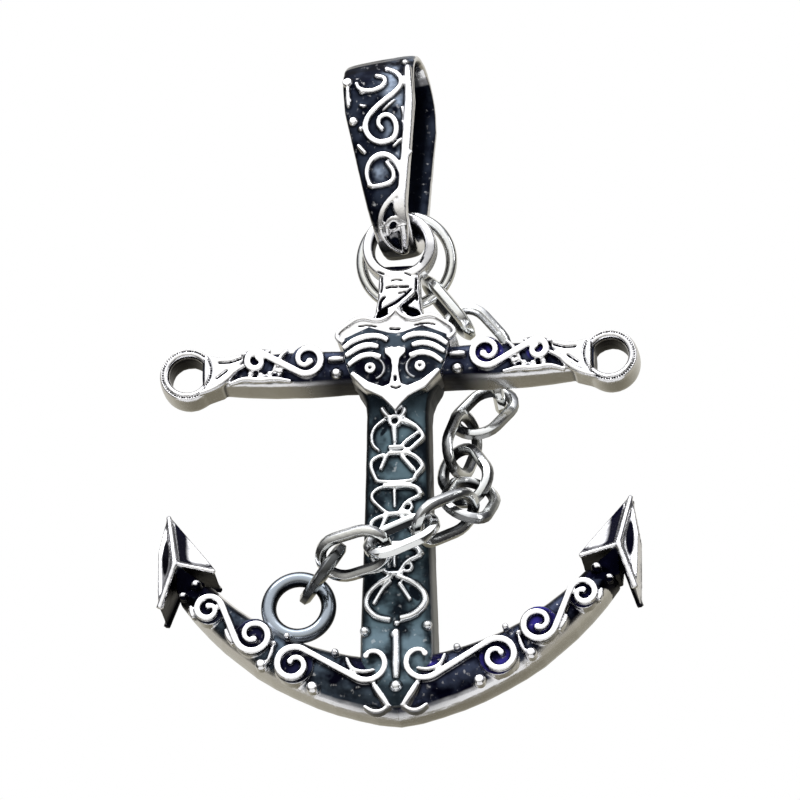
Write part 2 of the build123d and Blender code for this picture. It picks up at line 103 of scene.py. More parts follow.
def addBar(mesh, stations, power=4.0, closed=False, sides=roundness["bar"]):
    ring = bmesh.ops.create_circle(mesh, segments=sides, radius=1)["verts"]
    for vert in ring:
        for axis in (0, 1):
            vert.co[axis] = squared(vert.co[axis], power)
    bmesh.ops.transform(mesh, matrix=stations[0], verts=ring)
    firstEdges = edgesOf(ring)
    edges = firstEdges
    for before, after in zip(stations, stations[1:]):
        made = bmesh.ops.extrude_edge_only(mesh, edges=edges)["geom"]
        ring = set(madeVerts(made))
        bmesh.ops.transform(mesh, matrix=after @ before.inverted(), verts=list(ring))
        edges = [edge for edge in madeEdges(made) if set(edge.verts) <= ring]
    if closed:
        bmesh.ops.bridge_loops(mesh, edges=firstEdges + edges)
    else:
        bmesh.ops.contextual_create(mesh, geom=firstEdges)
        bmesh.ops.contextual_create(mesh, geom=edges)


def addHoop(mesh, centre, bend, halfWide, halfDeep, tilt=0.0, power=3.0):
    # a ring about the Y axis, tilted about X
    place = Matrix.Translation(Vector(centre)) @ Matrix.Rotation(math.radians(tilt), 4, "X")
    ring = bmesh.ops.create_circle(mesh, segments=roundness["wire"], radius=1)["verts"]
    for vert in ring:
        vert.co = (bend + squared(vert.co.x, power) * halfWide, squared(vert.co.y, power) * halfDeep, 0)
    bmesh.ops.transform(mesh, matrix=place, verts=ring)
    bmesh.ops.spin(
        mesh, geom=ring + edgesOf(ring), cent=place.translation, axis=place.to_3x3() @ Vector((0, 1, 0)),
        angle=math.tau, steps=roundness["turn"], use_merge=True,
    )


def addPlate(mesh, outline, back, front):
    verts = [mesh.verts.new((x, back, z)) for x, z in outline]
    face = mesh.faces.new(verts)
    made = bmesh.ops.extrude_face_region(mesh, geom=[face], use_keep_orig=True)["geom"]
    bmesh.ops.translate(mesh, vec=(0, front - back, 0), verts=madeVerts(made))


def addBead(mesh, centre, radius):
    place = Matrix.Translation(Vector(centre)) @ Matrix.Scale(radius, 4)
    bmesh.ops.create_icosphere(mesh, subdivisions=roundness["bead"], radius=1, matrix=place)


def addHull(mesh, corners):
    verts = [mesh.verts.new(corner) for corner in corners]
    made = bmesh.ops.convex_hull(mesh, input=verts)
    bmesh.ops.delete(mesh, geom=madeVerts(made["geom_interior"]), context="VERTS")


def addLines(mesh, lines):
    # raised lines: each is a list of points and a list of half widths
    curve = bpy.data.curves.new("lines", "CURVE")
    curve.dimensions = "3D"
    curve.bevel_depth = 1.0
    curve.bevel_resolution = roundness["line"]
    curve.use_fill_caps = True
    for points, radii in lines:
        spline = curve.splines.new("POLY")
        spline.points.add(len(points) - 1)
        for spot, point, radius in zip(spline.points, points, radii):
            spot.co = (*point, 1)
            spot.radius = radius
    holder = bpy.data.objects.new("lines", curve)
    made = bpy.data.meshes.new_from_object(holder)
    mesh.from_mesh(made)
    bpy.data.objects.remove(holder)
    bpy.data.curves.remove(curve)
    bpy.data.meshes.remove(made)


def curl(x, z, radius, turn, start, sense):
    # points that wind from the outside of a curl to its middle
    steps = max(6, round(turn / lineShape["curlStep"]))
    points = []
    for step in range(steps + 1):
        share = step / steps
        angle = math.radians(start + sense * turn * share)
        reach = radius * (1 - (1 - lineShape["curlEnd"]) * share ** lineShape["curlWind"])
        points.append((x + reach * math.cos(angle), z + reach * math.sin(angle)))
    return points


def sScroll(first, second, sense):
    # two curls (x, z, radius, turn) joined by the line that touches both
    across, up = second[0] - first[0], second[1] - first[1]
    spread = math.acos(min(1, (first[2] + second[2]) / math.hypot(across, up)))
    side = math.degrees(math.atan2(up, across) + sense * spread)
    lead = curl(*first, side, sense)
    tail = curl(*second, side + 180, sense)
    return lead[::-1] + tail


def smoothPath(points, rounds=2):
    # cuts the corners of a drawn line
    for _ in range(rounds):
        cut = [points[0]]
        for a, b in zip(points, points[1:]):
            for share in (lineShape["cornerCut"], 1 - lineShape["cornerCut"]):
                cut.append(tuple(p * (1 - share) + q * share for p, q in zip(a, b)))
        points = cut + [points[-1]]
    return points


def onSide(side, points):
    # a drawn line as it is, or mirrored where the side is -1
    return [(side * x, z) for x, z in points]


def tapered(count, middle, end):
    return [end + (middle - end) * math.sin(math.pi * i / max(1, count - 1)) for i in range(count)]


def ribbon(path, front, radius, end, drop=0.3):
    # a band that stands up from its ground: one line for its top and one below it
    count, low = len(path), lineShape["low"]
    return [
        ([(x, front, z) for x, z in path], tapered(count, radius, end)),
        ([(x, front + drop, z) for x, z in path], tapered(count, radius * low, end * low)),
    ]


def circle(x, z, radius, count=roundness["circle"]):
    turns = [math.tau * i / count for i in range(count)]
    return [(x + radius * math.cos(a), z + radius * math.sin(a)) for a in turns]


# From drawn shapes to a casting

castLook = {
    "wobble": 0.05, "wobbleSize": 1.6,  # how far the skin wavers, and over what length
    "blur": 40, "blurSpan": 0.16,  # smoothing that heights are measured from, and the full height
    "groundRise": 0.07, "reliefRise": 0.17,  # height over the plain casting that is ground, and relief
    "planed": 0.8,  # share of a top's height that polishing takes off
    "shade": 0.8, "shadeRounds": 18, "shadeSpan": (0.03, 0.3),  # the dark beside raised lines
    "kept": 0.78, "away": 0.3, "awayFactor": 10,  # share of faces kept, and fewest where they face back
}
wobbleTexture = bpy.data.textures.new("castWobble", "CLOUDS")
wobbleTexture.noise_scale = castLook["wobbleSize"]


def evaluated(piece):
    graph = bpy.context.evaluated_depsgraph_get()
    return bpy.data.meshes.new_from_object(piece.evaluated_get(graph))


def applyModifiers(piece):
    made = evaluated(piece)
    piece.modifiers.clear()
    piece.data = made


def addSmooth(piece, rounds):
    soft = piece.modifiers.new("soft", "SMOOTH")
    soft.factor = 0.5
    soft.iterations = rounds


def meshPiece(name, mesh):
    data = bpy.data.meshes.new(name)
    bmesh.ops.recalc_face_normals(mesh, faces=mesh.faces)
    mesh.to_mesh(data)
    mesh.free()
    return newObject(name, data)


def cast(name, mesh, voxel, polish):
    # one skin over everything drawn, softened as a casting is
    piece = meshPiece(name, mesh)
    skin = piece.modifiers.new("skin", "REMESH")
    skin.mode = "VOXEL"
    skin.voxel_size = voxel
    addSmooth(piece, polish)
    wobble = piece.modifiers.new("wobble", "DISPLACE")
    wobble.texture = wobbleTexture
    wobble.strength = castLook["wobble"]
    wobble.mid_level = 0.5
    applyModifiers(piece)
    return piece


def triples(items, name):
    flat = np.zeros(len(items) * 3)
    items.foreach_get(name, flat)
    return flat.reshape(-1, 3)


def coordinates(data):
    return triples(data.vertices, "co")


def setCoordinates(data, points):
    data.vertices.foreach_set("co", points.ravel())


def press(data, points, share, depth, front):
    # pushes the front skin back by a share of the depth
    share[points[:, 1] > front] = 0
    points[:, 1] += depth * share
    setCoordinates(data, points)
    return share


def pressDent(data, x, z, wide, tall, depth, front, turn):
    points = coordinates(data)
    angle = math.radians(turn)
    dx, dz = points[:, 0] - x, points[:, 2] - z
    across = (dx * math.cos(angle) + dz * math.sin(angle)) / wide
    up = (dz * math.cos(angle) - dx * math.sin(angle)) / tall
    share = np.clip(1 - (across ** 2 + up ** 2), 0, 1) ** 0.5
    return press(data, points, share, depth, front)


def pressLine(data, line, wide, depth, front):
    points = coordinates(data)
    gap = np.full(len(points), np.inf)
    for x, z in line:
        gap = np.minimum(gap, np.hypot(points[:, 0] - x, points[:, 2] - z))
    return press(data, points, np.clip(1 - (gap / wide) ** 2, 0, 1), depth, front)


def flattenTops(data, limit):
    # planes down what stands further forward than the limit, as a polishing wheel does
    points = coordinates(data)
    points[:, 1] -= np.minimum(points[:, 1] - limit, 0) * castLook["planed"]
    setCoordinates(data, points)


def ramp(value, low, high):
    share = np.clip((value - low) / (high - low), 0, 1)
    return share * share * (3 - 2 * share)


def oval(x, z, spot, edge):
    # 1 inside an oval (x, z, half width, half height, and slant), fading out at its edge
    cx, cz, wide, tall, slant = spot
    across = (x - cx + slant * (z - cz)) / wide
    return ramp(1 - across ** 2 - ((z - cz) / tall) ** 2, 0, edge)


def segmentGap(points, a, b):
    # distance of each point from the straight line between two places
    a, b = np.array(a), np.array(b)
    along = np.clip(((points - a) @ (b - a)) / ((b - a) @ (b - a)), 0, 1)
    return np.linalg.norm(points - a - along[:, None] * (b - a), axis=1)


def setValues(data, name, values):
    held = data.attributes.get(name) or data.attributes.new(name, "FLOAT", "POINT")
    held.data.foreach_set("value", np.asarray(values, dtype=np.float32))


def spreadRelief(data, relief):
    # how close each point is to raised work, 1 beside it and 0 away from it
    ends = np.zeros(len(data.edges) * 2, dtype=np.int32)
    data.edges.foreach_get("vertices", ends)
    first, second, count = ends[::2], ends[1::2], len(relief)
    share = np.maximum(np.bincount(ends, minlength=count), 1)
    for _ in range(castLook["shadeRounds"]):
        gathered = np.bincount(first, relief[second], count) + np.bincount(second, relief[first], count)
        relief = gathered / share
    return ramp(relief, *castLook["shadeSpan"])


def markHeight(piece, plain, oxideAndShade, tint=None, blur=castLook["blur"]):
    # height: how far each point stands above (over 0.5) or below the skin around it
    # relief: how far it stands above the plain casting, 1 on what is raised
    # black share: where the casting is black whatever its height, from oxide in its hollows and from painted shade
    # under, inside and behind its parts
    # tint: where the ground has a second colour
    addSmooth(piece, blur)
    blurred = evaluated(piece)
    piece.modifiers.clear()
    data = piece.data
    points, normals = coordinates(data), triples(data.vertex_normals, "vector")
    rise = ((points - coordinates(blurred)) * normals).sum(axis=1) / castLook["blurSpan"]
    bpy.data.meshes.remove(blurred)
    rises = np.array([plain.find_nearest(point)[3] for point in points.tolist()])
    low, high = castLook["groundRise"], castLook["reliefRise"]
    relief = np.clip((rises - low) / (high - low), 0, 1)
    black = spreadRelief(data, relief) * (1 - relief) * castLook["shade"]
    black = np.maximum(black, oxideAndShade(points, normals, relief))
    tinted = tint(points) if tint else np.zeros(len(points))
    for name, values in (("height", 0.5 + 0.5 * rise), ("relief", relief), ("tint", tinted), ("oxideAndShade", black)):
        setValues(data, name, np.clip(values, 0, 1))
    fewer = piece.modifiers.new("fewer", "DECIMATE")
    fewer.ratio = castLook["kept"]
    away = piece.vertex_groups.new(name="away")
    away.add(np.flatnonzero(normals[:, 1] > castLook["away"]).tolist(), 1, "REPLACE")
    fewer.vertex_group = away.name
    fewer.vertex_group_factor = castLook["awayFactor"]
    applyModifiers(piece)
    bpy.data.meshes.remove(data)


def settle(piece, place, material, body, slot, *nodeNames):
    piece.data.transform(place)
    piece.data.polygons.foreach_set("use_smooth", [True] * len(piece.data.polygons))
    piece.data.materials.clear()
    piece.data.materials.append(material)
    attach(piece, body)
    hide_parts(*nodeNames)
    print("made", piece.name, len(piece.data.polygons), "faces")


def settleOnAnchor(piece, material, slot="cast_silver", node="anchor"):
    settle(piece, anchorPlace, material, "hanging_anchor", slot, node)


# Finishes

# the black share input carries oxide in hollows and painted shade
patinaInputs = {
    "Height": 0.5, "Relief": 1.0, "OxideAndShade": 0.0, "Tarnish": 1.0, "Speckle": 0.3, "Polish": (0.9, 0.9, 0.92, 1),
    "Ground": (0.1, 0.13, 0.17, 1), "Tint": (0.1, 0.13, 0.17, 1), "Tinted": 0.0,
    "Recess": (0.01, 0.01, 0.03, 1), "Shine": 0.2,
}
patinaOutputs = {"Color": "NodeSocketColor", "Roughness": "NodeSocketFloat", "Bump": "NodeSocketFloat"}
patinaReads = {"height": "Height", "relief": "Relief", "oxideAndShade": "OxideAndShade", "tint": "Tinted"}
patinaLook = {
    "stain": (500, 3), "speck": (2400, 4),  # scale and detail of the coarse and the fine grain
    "front": (0.42, 0.72),  # how squarely a face looks forward where its ground darkens
    "worn": (0.66, 0.85), "pit": (0.3, 0.44),  # heights that are rubbed bright, and that stay black
    "flecks": (0.6, 0.72), "mottle": (0.36, 0.6),
    "stainShare": 0.2, "speckShare": 0.12, "dull": 0.2, "speckRough": 0.08,
    "speckBump": 0.5, "stainBump": 0.8, "bumpDepth": 0.00003,
}


def makePatina():
    # silver that is bright where it stands up, dark where polish can't reach, and black where the black share
    # gives oxide and painted shade
    look = patinaLook
    group = bpy.data.node_groups.new("patina", "ShaderNodeTree")
    for name, value in patinaInputs.items():
        kind = "NodeSocketColor" if isinstance(value, tuple) else "NodeSocketFloat"
        group.interface.new_socket(name=name, in_out="INPUT", socket_type=kind).default_value = value
    for name, kind in patinaOutputs.items():
        group.interface.new_socket(name=name, in_out="OUTPUT", socket_type=kind)
    new, link = group.nodes.new, group.links.new
    given, out = new("NodeGroupInput").outputs, new("NodeGroupOutput").inputs
    where = new("ShaderNodeTexCoord")

    def grain(scale, detail):
        texture = new("ShaderNodeTexNoise")
        texture.inputs["Scale"].default_value = scale
        texture.inputs["Detail"].default_value = detail
        link(where.outputs["Object"], texture.inputs["Vector"])
        return texture.outputs["Fac"]

    def work(operation, first, second):
        node = new("ShaderNodeMath")
        node.operation = operation
        for socket, value in zip(node.inputs, (first, second)):
            if isinstance(value, (int, float)):
                socket.default_value = value
            else:
                link(value, socket)
        return node.outputs[0]

    def times(first, second):
        return work("MULTIPLY", first, second)

    def plus(first, second):
        return work("ADD", first, second)

    def minus(first, second):
        return work("SUBTRACT", first, second)

    def larger(first, second):
        return work("MAXIMUM", first, second)

    def step(value, low, high):
        node = new("ShaderNodeMapRange")
        node.interpolation_type = "SMOOTHSTEP"
        node.inputs["From Min"].default_value = low
        node.inputs["From Max"].default_value = high
        link(value, node.inputs["Value"])
        return node.outputs[0]

    def blend(share, low, high):
        node = new("ShaderNodeMix")
        node.data_type = "RGBA"
        for name, source in (("Factor", share), ("A", low), ("B", high)):
            link(source, node.inputs[name])
        return node.outputs["Result"]

    stain, speck = grain(*look["stain"]), grain(*look["speck"])
    facing = new("ShaderNodeSeparateXYZ")
    link(new("ShaderNodeNewGeometry").outputs["Normal"], facing.inputs[0])
    frontness = step(times(facing.outputs["Y"], -1), *look["front"])
    # the ground between raised lines is dark at the front, and edges are rubbed bright
    kept = larger(given["Relief"], step(given["Height"], *look["worn"]))
    dark = times(times(minus(1, kept), frontness), given["Tarnish"])
    flecks = times(step(speck, *look["flecks"]), given["Speckle"])
    dark = times(dark, minus(1, flecks))
    level = plus(given["Height"], times(minus(stain, 0.5), look["stainShare"]))
    level = plus(level, times(minus(speck, 0.5), look["speckShare"]))
    # the black share adds oxide in hollows and painted shade to the pits
    pit = larger(minus(1, step(level, *look["pit"])), given["OxideAndShade"])
    ground = blend(given["Tinted"], given["Ground"], given["Tint"])
    tone = blend(step(stain, *look["mottle"]), given["Recess"], ground)
    link(blend(pit, blend(dark, given["Polish"], tone), given["Recess"]), out["Color"])
    rough = plus(given["Shine"], times(larger(dark, pit), look["dull"]))
    link(plus(rough, times(speck, look["speckRough"])), out["Roughness"])
    link(plus(times(speck, look["speckBump"]), times(stain, look["stainBump"])), out["Bump"])
    return group


patina = makePatina()


def silver(name, **values):
    material = bpy.data.materials.new(name)
    material.use_nodes = True
    tree = material.node_tree
    shader = tree.nodes["Principled BSDF"]
    shader.inputs["Metallic"].default_value = 1.0
    look = tree.nodes.new("ShaderNodeGroup")
    look.node_tree = patina
    for key, value in values.items():
        look.inputs[key.capitalize()].default_value = (*value, 1) if isinstance(value, tuple) else value
    for attribute, socket in patinaReads.items():
        held = tree.nodes.new("ShaderNodeAttribute")
        held.attribute_name = attribute
        tree.links.new(held.outputs["Fac"], look.inputs[socket])
    tree.links.new(look.outputs["Color"], shader.inputs["Base Color"])
    tree.links.new(look.outputs["Roughness"], shader.inputs["Roughness"])
    grain = tree.nodes.new("ShaderNodeBump")
    grain.inputs["Distance"].default_value = patinaLook["bumpDepth"]
    tree.links.new(look.outputs["Bump"], grain.inputs["Height"])
    tree.links.new(grain.outputs["Normal"], shader.inputs["Normal"])
    return material


castSilver = silver(
    "castSilver", polish=(0.92, 0.92, 0.94), ground=(0.055, 0.075, 0.1), recess=(0.002, 0.002, 0.006),
    tint=(0.012, 0.012, 0.04), shine=0.14,
)
indigoSilver = silver(
    "indigoSilver", polish=(0.92, 0.92, 0.94), ground=(0.04, 0.05, 0.085), recess=(0.002, 0.002, 0.008),
    tint=(0.035, 0.028, 0.24), shine=0.14,
)
bailSilver = silver(
    "bailSilver", polish=(0.92, 0.92, 0.94), ground=(0.02, 0.026, 0.042), recess=(0.003, 0.004, 0.009),
    tint=(0.28, 0.34, 0.44), shine=0.14,
)
slateSilver = silver(
    "slateSilver", polish=(0.88, 0.9, 0.92), ground=(0.085, 0.13, 0.155), recess=(0.006, 0.009, 0.013),
    tint=(0.16, 0.23, 0.28), shine=0.2, speckle=0.2,
)
wireSilver = silver(
    "wireSilver", polish=(0.86, 0.88, 0.88), ground=(0.2, 0.22, 0.24), recess=(0.008, 0.01, 0.013),
    shine=0.07, tarnish=0.0,
)
gunmetal = silver(
    "gunmetal", polish=(0.34, 0.385, 0.44), ground=(0.1, 0.12, 0.15), recess=(0.006, 0.008, 0.012),
    shine=0.1, tarnish=0.0,
)
print("finishes ready")


# Stock: the cross bar with its pierced ends

stockDesign = {
    "bar": [  # x, half height, half depth
        (0.0, 1.45, 2.0), (4.5, 1.4, 2.0), (7.0, 1.5, 2.0), (9.6, 1.45, 1.95),
        (12.0, 1.3, 1.85), (14.0, 1.1, 1.6), (15.4, 0.95, 1.4),
    ],
    "voxel": 0.085, "polish": 3,
    "endRing": {"x": 16.6, "bend": 1.83, "halfWide": 0.44, "halfDeep": 1.45},
    "tintHeight": 0.4,
    "curls": ((7.05, 0.42, 1.22, 440), (11.05, 0.42, 0.8, 400)),
    "lineWidth": 0.25,
    "front": -2.28,
    "plate": {"spare": 0.12, "back": -1.2, "sunk": 0.25},  # the round ground under each curl
    "tongueDepths": (1.0, -1.95),
    "press": {"rim": 0.12, "rimWide": 0.13, "rimDeep": 0.22, "deep": 0.25, "front": -1.0},
    "tongue": [
        (12.0, 1.25), (13.8, 1.0), (15.2, 1.3), (15.2, -1.75), (13.9, -1.35), (12.9, -0.3), (12.2, 0.5),
    ],
    "lines": [  # points and half width
        ([(11.95, 0.2), (12.7, -0.15), (13.4, -0.95), (14.4, -1.6), (15.6, -2.0)], 0.27),
        ([(8.55, 1.35), (9.1, 0.85), (9.5, 0.1), (9.7, -0.5)], 0.2),
        ([(4.15, 0.38), (5.4, 0.36)], 0.3),
        ([(8.3, -1.3), (9.6, -1.02), (10.8, -1.15), (12.0, -0.9), (13.2, -1.35)], 0.24),
        ([(9.9, 1.3), (10.6, 1.35), (11.4, 1.3), (12.2, 1.1)], 0.16),
    ],
    "beads": [
        (4.75, -0.78, 0.42), (9.2, -0.45, 0.3), (10.0, -0.6, 0.26), (10.7, -0.7, 0.3),
        (11.5, -0.55, 0.26),
    ],
    "grooves": [([(12.3, 0.85), (13.2, 0.55), (14.0, 0.6)], 0.1), ([(13.4, -0.1), (14.2, -0.7)], 0.1)],
}


def curlTint(points, curls):
    # the blue bloom inside the curls
    share = np.zeros(len(points))
    for x, z, radius in curls:
        reach = np.hypot(points[:, 0] - x, points[:, 2] - z)
        share = np.maximum(share, ramp(radius + 0.25 - reach, 0, 0.4))
    return share


def makeStock():
    d = stockDesign
    mesh = bmesh.new()
    bar = d["bar"]
    stops = [(-x, h, y) for x, h, y in reversed(bar)] + bar[1:]
    addBar(mesh, [station((x, 0, 0), (0, 0, h), (0, y, 0)) for x, h, y in stops], power=4)
    plate = d["plate"]
    for side in (-1, 1):
        for x, z, radius, _ in d["curls"]:
            ground = circle(side * x, z, radius + plate["spare"])
            addPlate(mesh, ground, plate["back"], d["front"] + plate["sunk"])
    plain = BVHTree.FromBMesh(mesh)
    end = d["endRing"]
    front, width = d["front"], d["lineWidth"]
    lines = []
    for side in (-1, 1):
        addHoop(mesh, (side * end["x"], 0, 0), end["bend"], end["halfWide"], end["halfDeep"])
        first, second = d["curls"]
        path = sScroll((side * first[0], *first[1:]), (side * second[0], *second[1:]), -side)
        lines += ribbon(path, front, width * 1.15, width * 0.8)
        addBead(mesh, (path[0][0], front, path[0][1]), width * 1.2)
        addPlate(mesh, onSide(side, d["tongue"]), *d["tongueDepths"])
        for points, radius in d["lines"]:
            path = smoothPath(onSide(side, points))
            lines += ribbon(path, front + 0.15, radius, radius * 0.6, 0.25)
        for x, z, radius in d["beads"]:
            addBead(mesh, (side * x, front + 0.25, z), radius)
    addLines(mesh, lines)
    piece = cast("anchor_stock", mesh, d["voxel"], d["polish"])
    flattenTops(piece.data, front - 0.1)
    dent = d["press"]
    for side in (-1, 1):
        rim = circle(side * end["x"], 0, end["bend"] + dent["rim"], 60)
        pressLine(piece.data, rim, dent["rimWide"], dent["rimDeep"], dent["front"])
        for points, wide in d["grooves"]:
            spots = smoothPath(onSide(side, points), 3)
            pressLine(piece.data, spots, wide, dent["deep"], dent["front"])

    def oxideAndShade(points, normals, relief):
        # painted shade: the underside is darker towards the mask, and so are the holes' walls
        under = ramp(-normals[:, 2], 0.3, 0.8) * ramp(-np.abs(points[:, 0]), -9.5, -4.5) * 0.97
        reach = np.hypot(np.abs(points[:, 0]) - end["x"], points[:, 2])
        hole = ramp(-reach, -1.62, -1.5) * ramp(points[:, 1], -1.2, -0.9)
        return np.maximum(under, hole)

    curls = [(x, d["tintHeight"], radius) for x, _, radius, _ in d["curls"]]
    markHeight(piece, plain, oxideAndShade, lambda points: curlTint(points, curls))
    settleOnAnchor(piece, indigoSilver)


makeStock()


# Shank: the upright bar with its stack of medallions

shankDesign = {
    "bar": [  # z, half width, half depth
        (0.4, 3.6, 1.85), (-1.0, 3.5, 1.9), (-1.7, 3.3, 2.05), (-2.4, 2.85, 2.12), (-3.2, 2.55, 2.15),
        (-4.2, 2.45, 2.15), (-10.0, 2.55, 2.22), (-16.0, 2.7, 2.32), (-22.0, 2.9, 2.45),
        (-25.5, 2.95, 2.5), (-27.0, 2.3, 2.52), (-28.0, 1.4, 2.5), (-28.8, 0.5, 2.3),
    ],
    "voxel": 0.085, "polish": 2,
    "medallions": [  # which drawing, and how far down it is repeated
        ("sun", 0), ("tent", 0), ("cup", 0), ("tent", -5.1), ("cup", -5.0), ("drop", 0),
    ],
    "sun": [  # points and half widths at the start and the end
        ([(-0.88, -4.92), (-1.7, -5.55), (-2.0, -6.35), (-1.82, -7.16), (-1.32, -7.59)], 0.15, 0.12),
        ([
            (0.57, -4.92), (1.45, -5.51), (1.95, -6.14), (2.14, -6.62), (1.64, -7.06), (1.13, -7.57),
            (0.63, -7.62),
        ], 0.16, 0.2),
        ([(-0.18, -5.5), (-0.12, -7.0)], 0.3, 0.12),
        ([(0.44, -7.27), (0.82, -6.76), (1.64, -6.19)], 0.17, 0.13),
        ([(-0.62, -7.32), (0.63, -7.32)], 0.19, 0.19),
    ],
    "tent": [
        ([(-0.7, -7.84), (0.63, -7.84)], 0.2, 0.2),
        ([(-0.75, -8.02), (-1.25, -9.21)], 0.2, 0.17), ([(0.39, -8.08), (1.39, -9.34)], 0.2, 0.22),
        ([(-0.9, -7.9), (-1.7, -8.18), (-2.07, -8.7), (-1.76, -9.58), (-1.5, -10.13)], 0.15, 0.17),
        ([
            (0.76, -7.82), (1.58, -8.2), (2.14, -8.97), (1.83, -9.43), (1.51, -9.74), (1.39, -10.15),
        ], 0.2, 0.2),
        ([(-1.5, -10.13), (0.0, -10.28), (1.39, -10.15)], 0.14, 0.16),
    ],
    "cup": [
        ([(-1.0, -10.6), (0.76, -10.6), (1.64, -10.8), (1.95, -11.45)], 0.2, 0.28),
        ([(1.95, -11.45), (0.82, -11.94), (0.44, -12.52), (0.26, -12.84)], 0.18, 0.15),
        ([(-1.0, -10.6), (-1.57, -10.81), (-2.07, -11.46), (-1.19, -12.44), (-0.69, -12.86)], 0.13, 0.15),
        ([(-0.15, -10.94), (-0.12, -12.35)], 0.14, 0.1),
        ([(0.75, -12.0), (1.3, -12.2), (1.1, -12.8), (0.6, -12.7)], 0.14, 0.13),
        ([(-0.75, -12.92), (0.55, -12.92)], 0.2, 0.2),
    ],
    "drop": [
        ([
            (-0.3, -18.15), (-1.32, -18.62), (-2.21, -19.54), (-2.4, -20.5), (-1.58, -21.51),
            (-0.41, -21.76),
        ], 0.2, 0.22),
        ([
            (0.0, -18.1), (1.49, -18.76), (2.31, -19.76), (2.21, -20.64), (1.4, -21.47), (0.32, -21.71),
        ], 0.22, 0.3),
        ([(-0.41, -18.5), (-1.04, -19.12), (-1.77, -20.44)], 0.2, 0.15),
        ([(0.23, -18.7), (1.13, -20.19)], 0.2, 0.17),
    ],
    "pits": [  # black ovals: x, z, half width, half height, slant
        (-1.5, -8.72, 0.3, 0.62, -0.25), (1.3, -8.7, 0.36, 0.68, 0.4), (-1.5, -13.8, 0.3, 0.62, -0.25),
        (1.3, -13.8, 0.36, 0.68, 0.4), (-1.62, -19.5, 0.3, 0.6, -0.35), (1.42, -19.6, 0.38, 0.7, 0.45),
        (0.95, -12.42, 0.2, 0.25, 0.0), (-1.0, -5.9, 0.22, 0.4, -0.5),
    ],
    "lifts": (-0.1, 0.06),  # the two layers of a medallion's line, from the bar's front
    "strands": [  # points and half width
        ([(-0.6, -4.75), (-1.0, -4.3), (-1.15, -3.9)], 0.216),
        ([(0.35, -4.75), (0.6, -4.4), (0.6, -4.0)], 0.192),
        ([(0.5, -5.15), (1.1, -5.35), (1.6, -5.7)], 0.24),
        ([(0.0, -22.6), (0.0, -24.0), (0.0, -25.4), (0.0, -26.6)], 0.3),
    ],
    "strandLift": -0.06,
    "loop": {"centre": (-0.12, -2.27, -5.1), "bend": 0.4, "halfWide": 0.17, "halfDeep": 0.2},
    "front": {"top": 2.15, "foot": 2.5, "run": 25},  # how far forward the bar's front is
    "beads": [
        (-2.45, -22.6, 0.38), (2.45, -22.3, 0.38), (-0.1, -22.95, 0.34), (0.05, -22.05, 0.24),
        (0.0, -27.25, 0.48),
    ],
}


def shankFront(z):
    f = shankDesign["front"]
    return -(f["top"] + (f["foot"] - f["top"]) * min(1, max(0, -z) / f["run"]))


def makeShank():
    d = shankDesign
    mesh = bmesh.new()
    addBar(mesh, [station((0, 0, z), (wide, 0, 0), (0, deep, 0)) for z, wide, deep in d["bar"]], power=6)
    plain = BVHTree.FromBMesh(mesh)
    lines = []
    for name, drop in d["medallions"]:
        for points, first, last in d[name]:
            path = smoothPath([(x, z + drop) for x, z in points])
            radii = [first + (last - first) * i / (len(path) - 1) for i in range(len(path))]
            for lift in d["lifts"]:
                lines.append(([(x, shankFront(z) + lift, z) for x, z in path], radii))
    loop = d["loop"]
    addHoop(mesh, loop["centre"], loop["bend"], loop["halfWide"], loop["halfDeep"])
    for points, radius in d["strands"]:
        path = smoothPath(points)
        placed = [(x, shankFront(z) + d["strandLift"], z) for x, z in path]
        lines.append((placed, tapered(len(path), radius, radius * 0.8)))
    for x, z, radius in d["beads"]:
        addBead(mesh, (x, shankFront(z), z), radius)
    addLines(mesh, lines)
    piece = cast("anchor_shank", mesh, d["voxel"], d["polish"])

    def oxideAndShade(points, normals, relief):
        # black in the slanted ovals and darker near both edges, with painted shade on the flanks, under the mask
        # and at the foot
        x, z = points[:, 0], points[:, 2]
        pit = np.zeros(len(points))
        for spot in d["pits"]:
            pit = np.maximum(pit, oval(x, z, spot, 0.3))
        outer = ramp(np.abs(x), 1.9, 2.4) * 0.7 * ramp(z, -22.5, -21.5)
        flank = ramp(np.abs(normals[:, 0]), 0.5, 0.8) * ramp(points[:, 1], -2.1, -1.9)
        flank = flank * (0.84 + 0.145 * ramp(z, -18, -14))
        top = ramp(z, -5.6, -3.6) * np.where(x < 0, 0.97, 0.75)
        foot = ramp(-z, 26.5, 27.3) * 0.88
        front = ramp(-points[:, 1], 0.0, 1.0)
        return np.maximum(np.maximum.reduce([outer, pit, top, foot]) * (1 - relief) * front, flank)

    def tint(points):
        return ramp(-points[:, 2], 21.8, 23.0) * 0.6

    markHeight(piece, plain, oxideAndShade, tint)
    settleOnAnchor(piece, slateSilver)


makeShank()


# Arms: one is made and mirrored, with a barbed fluke at its end

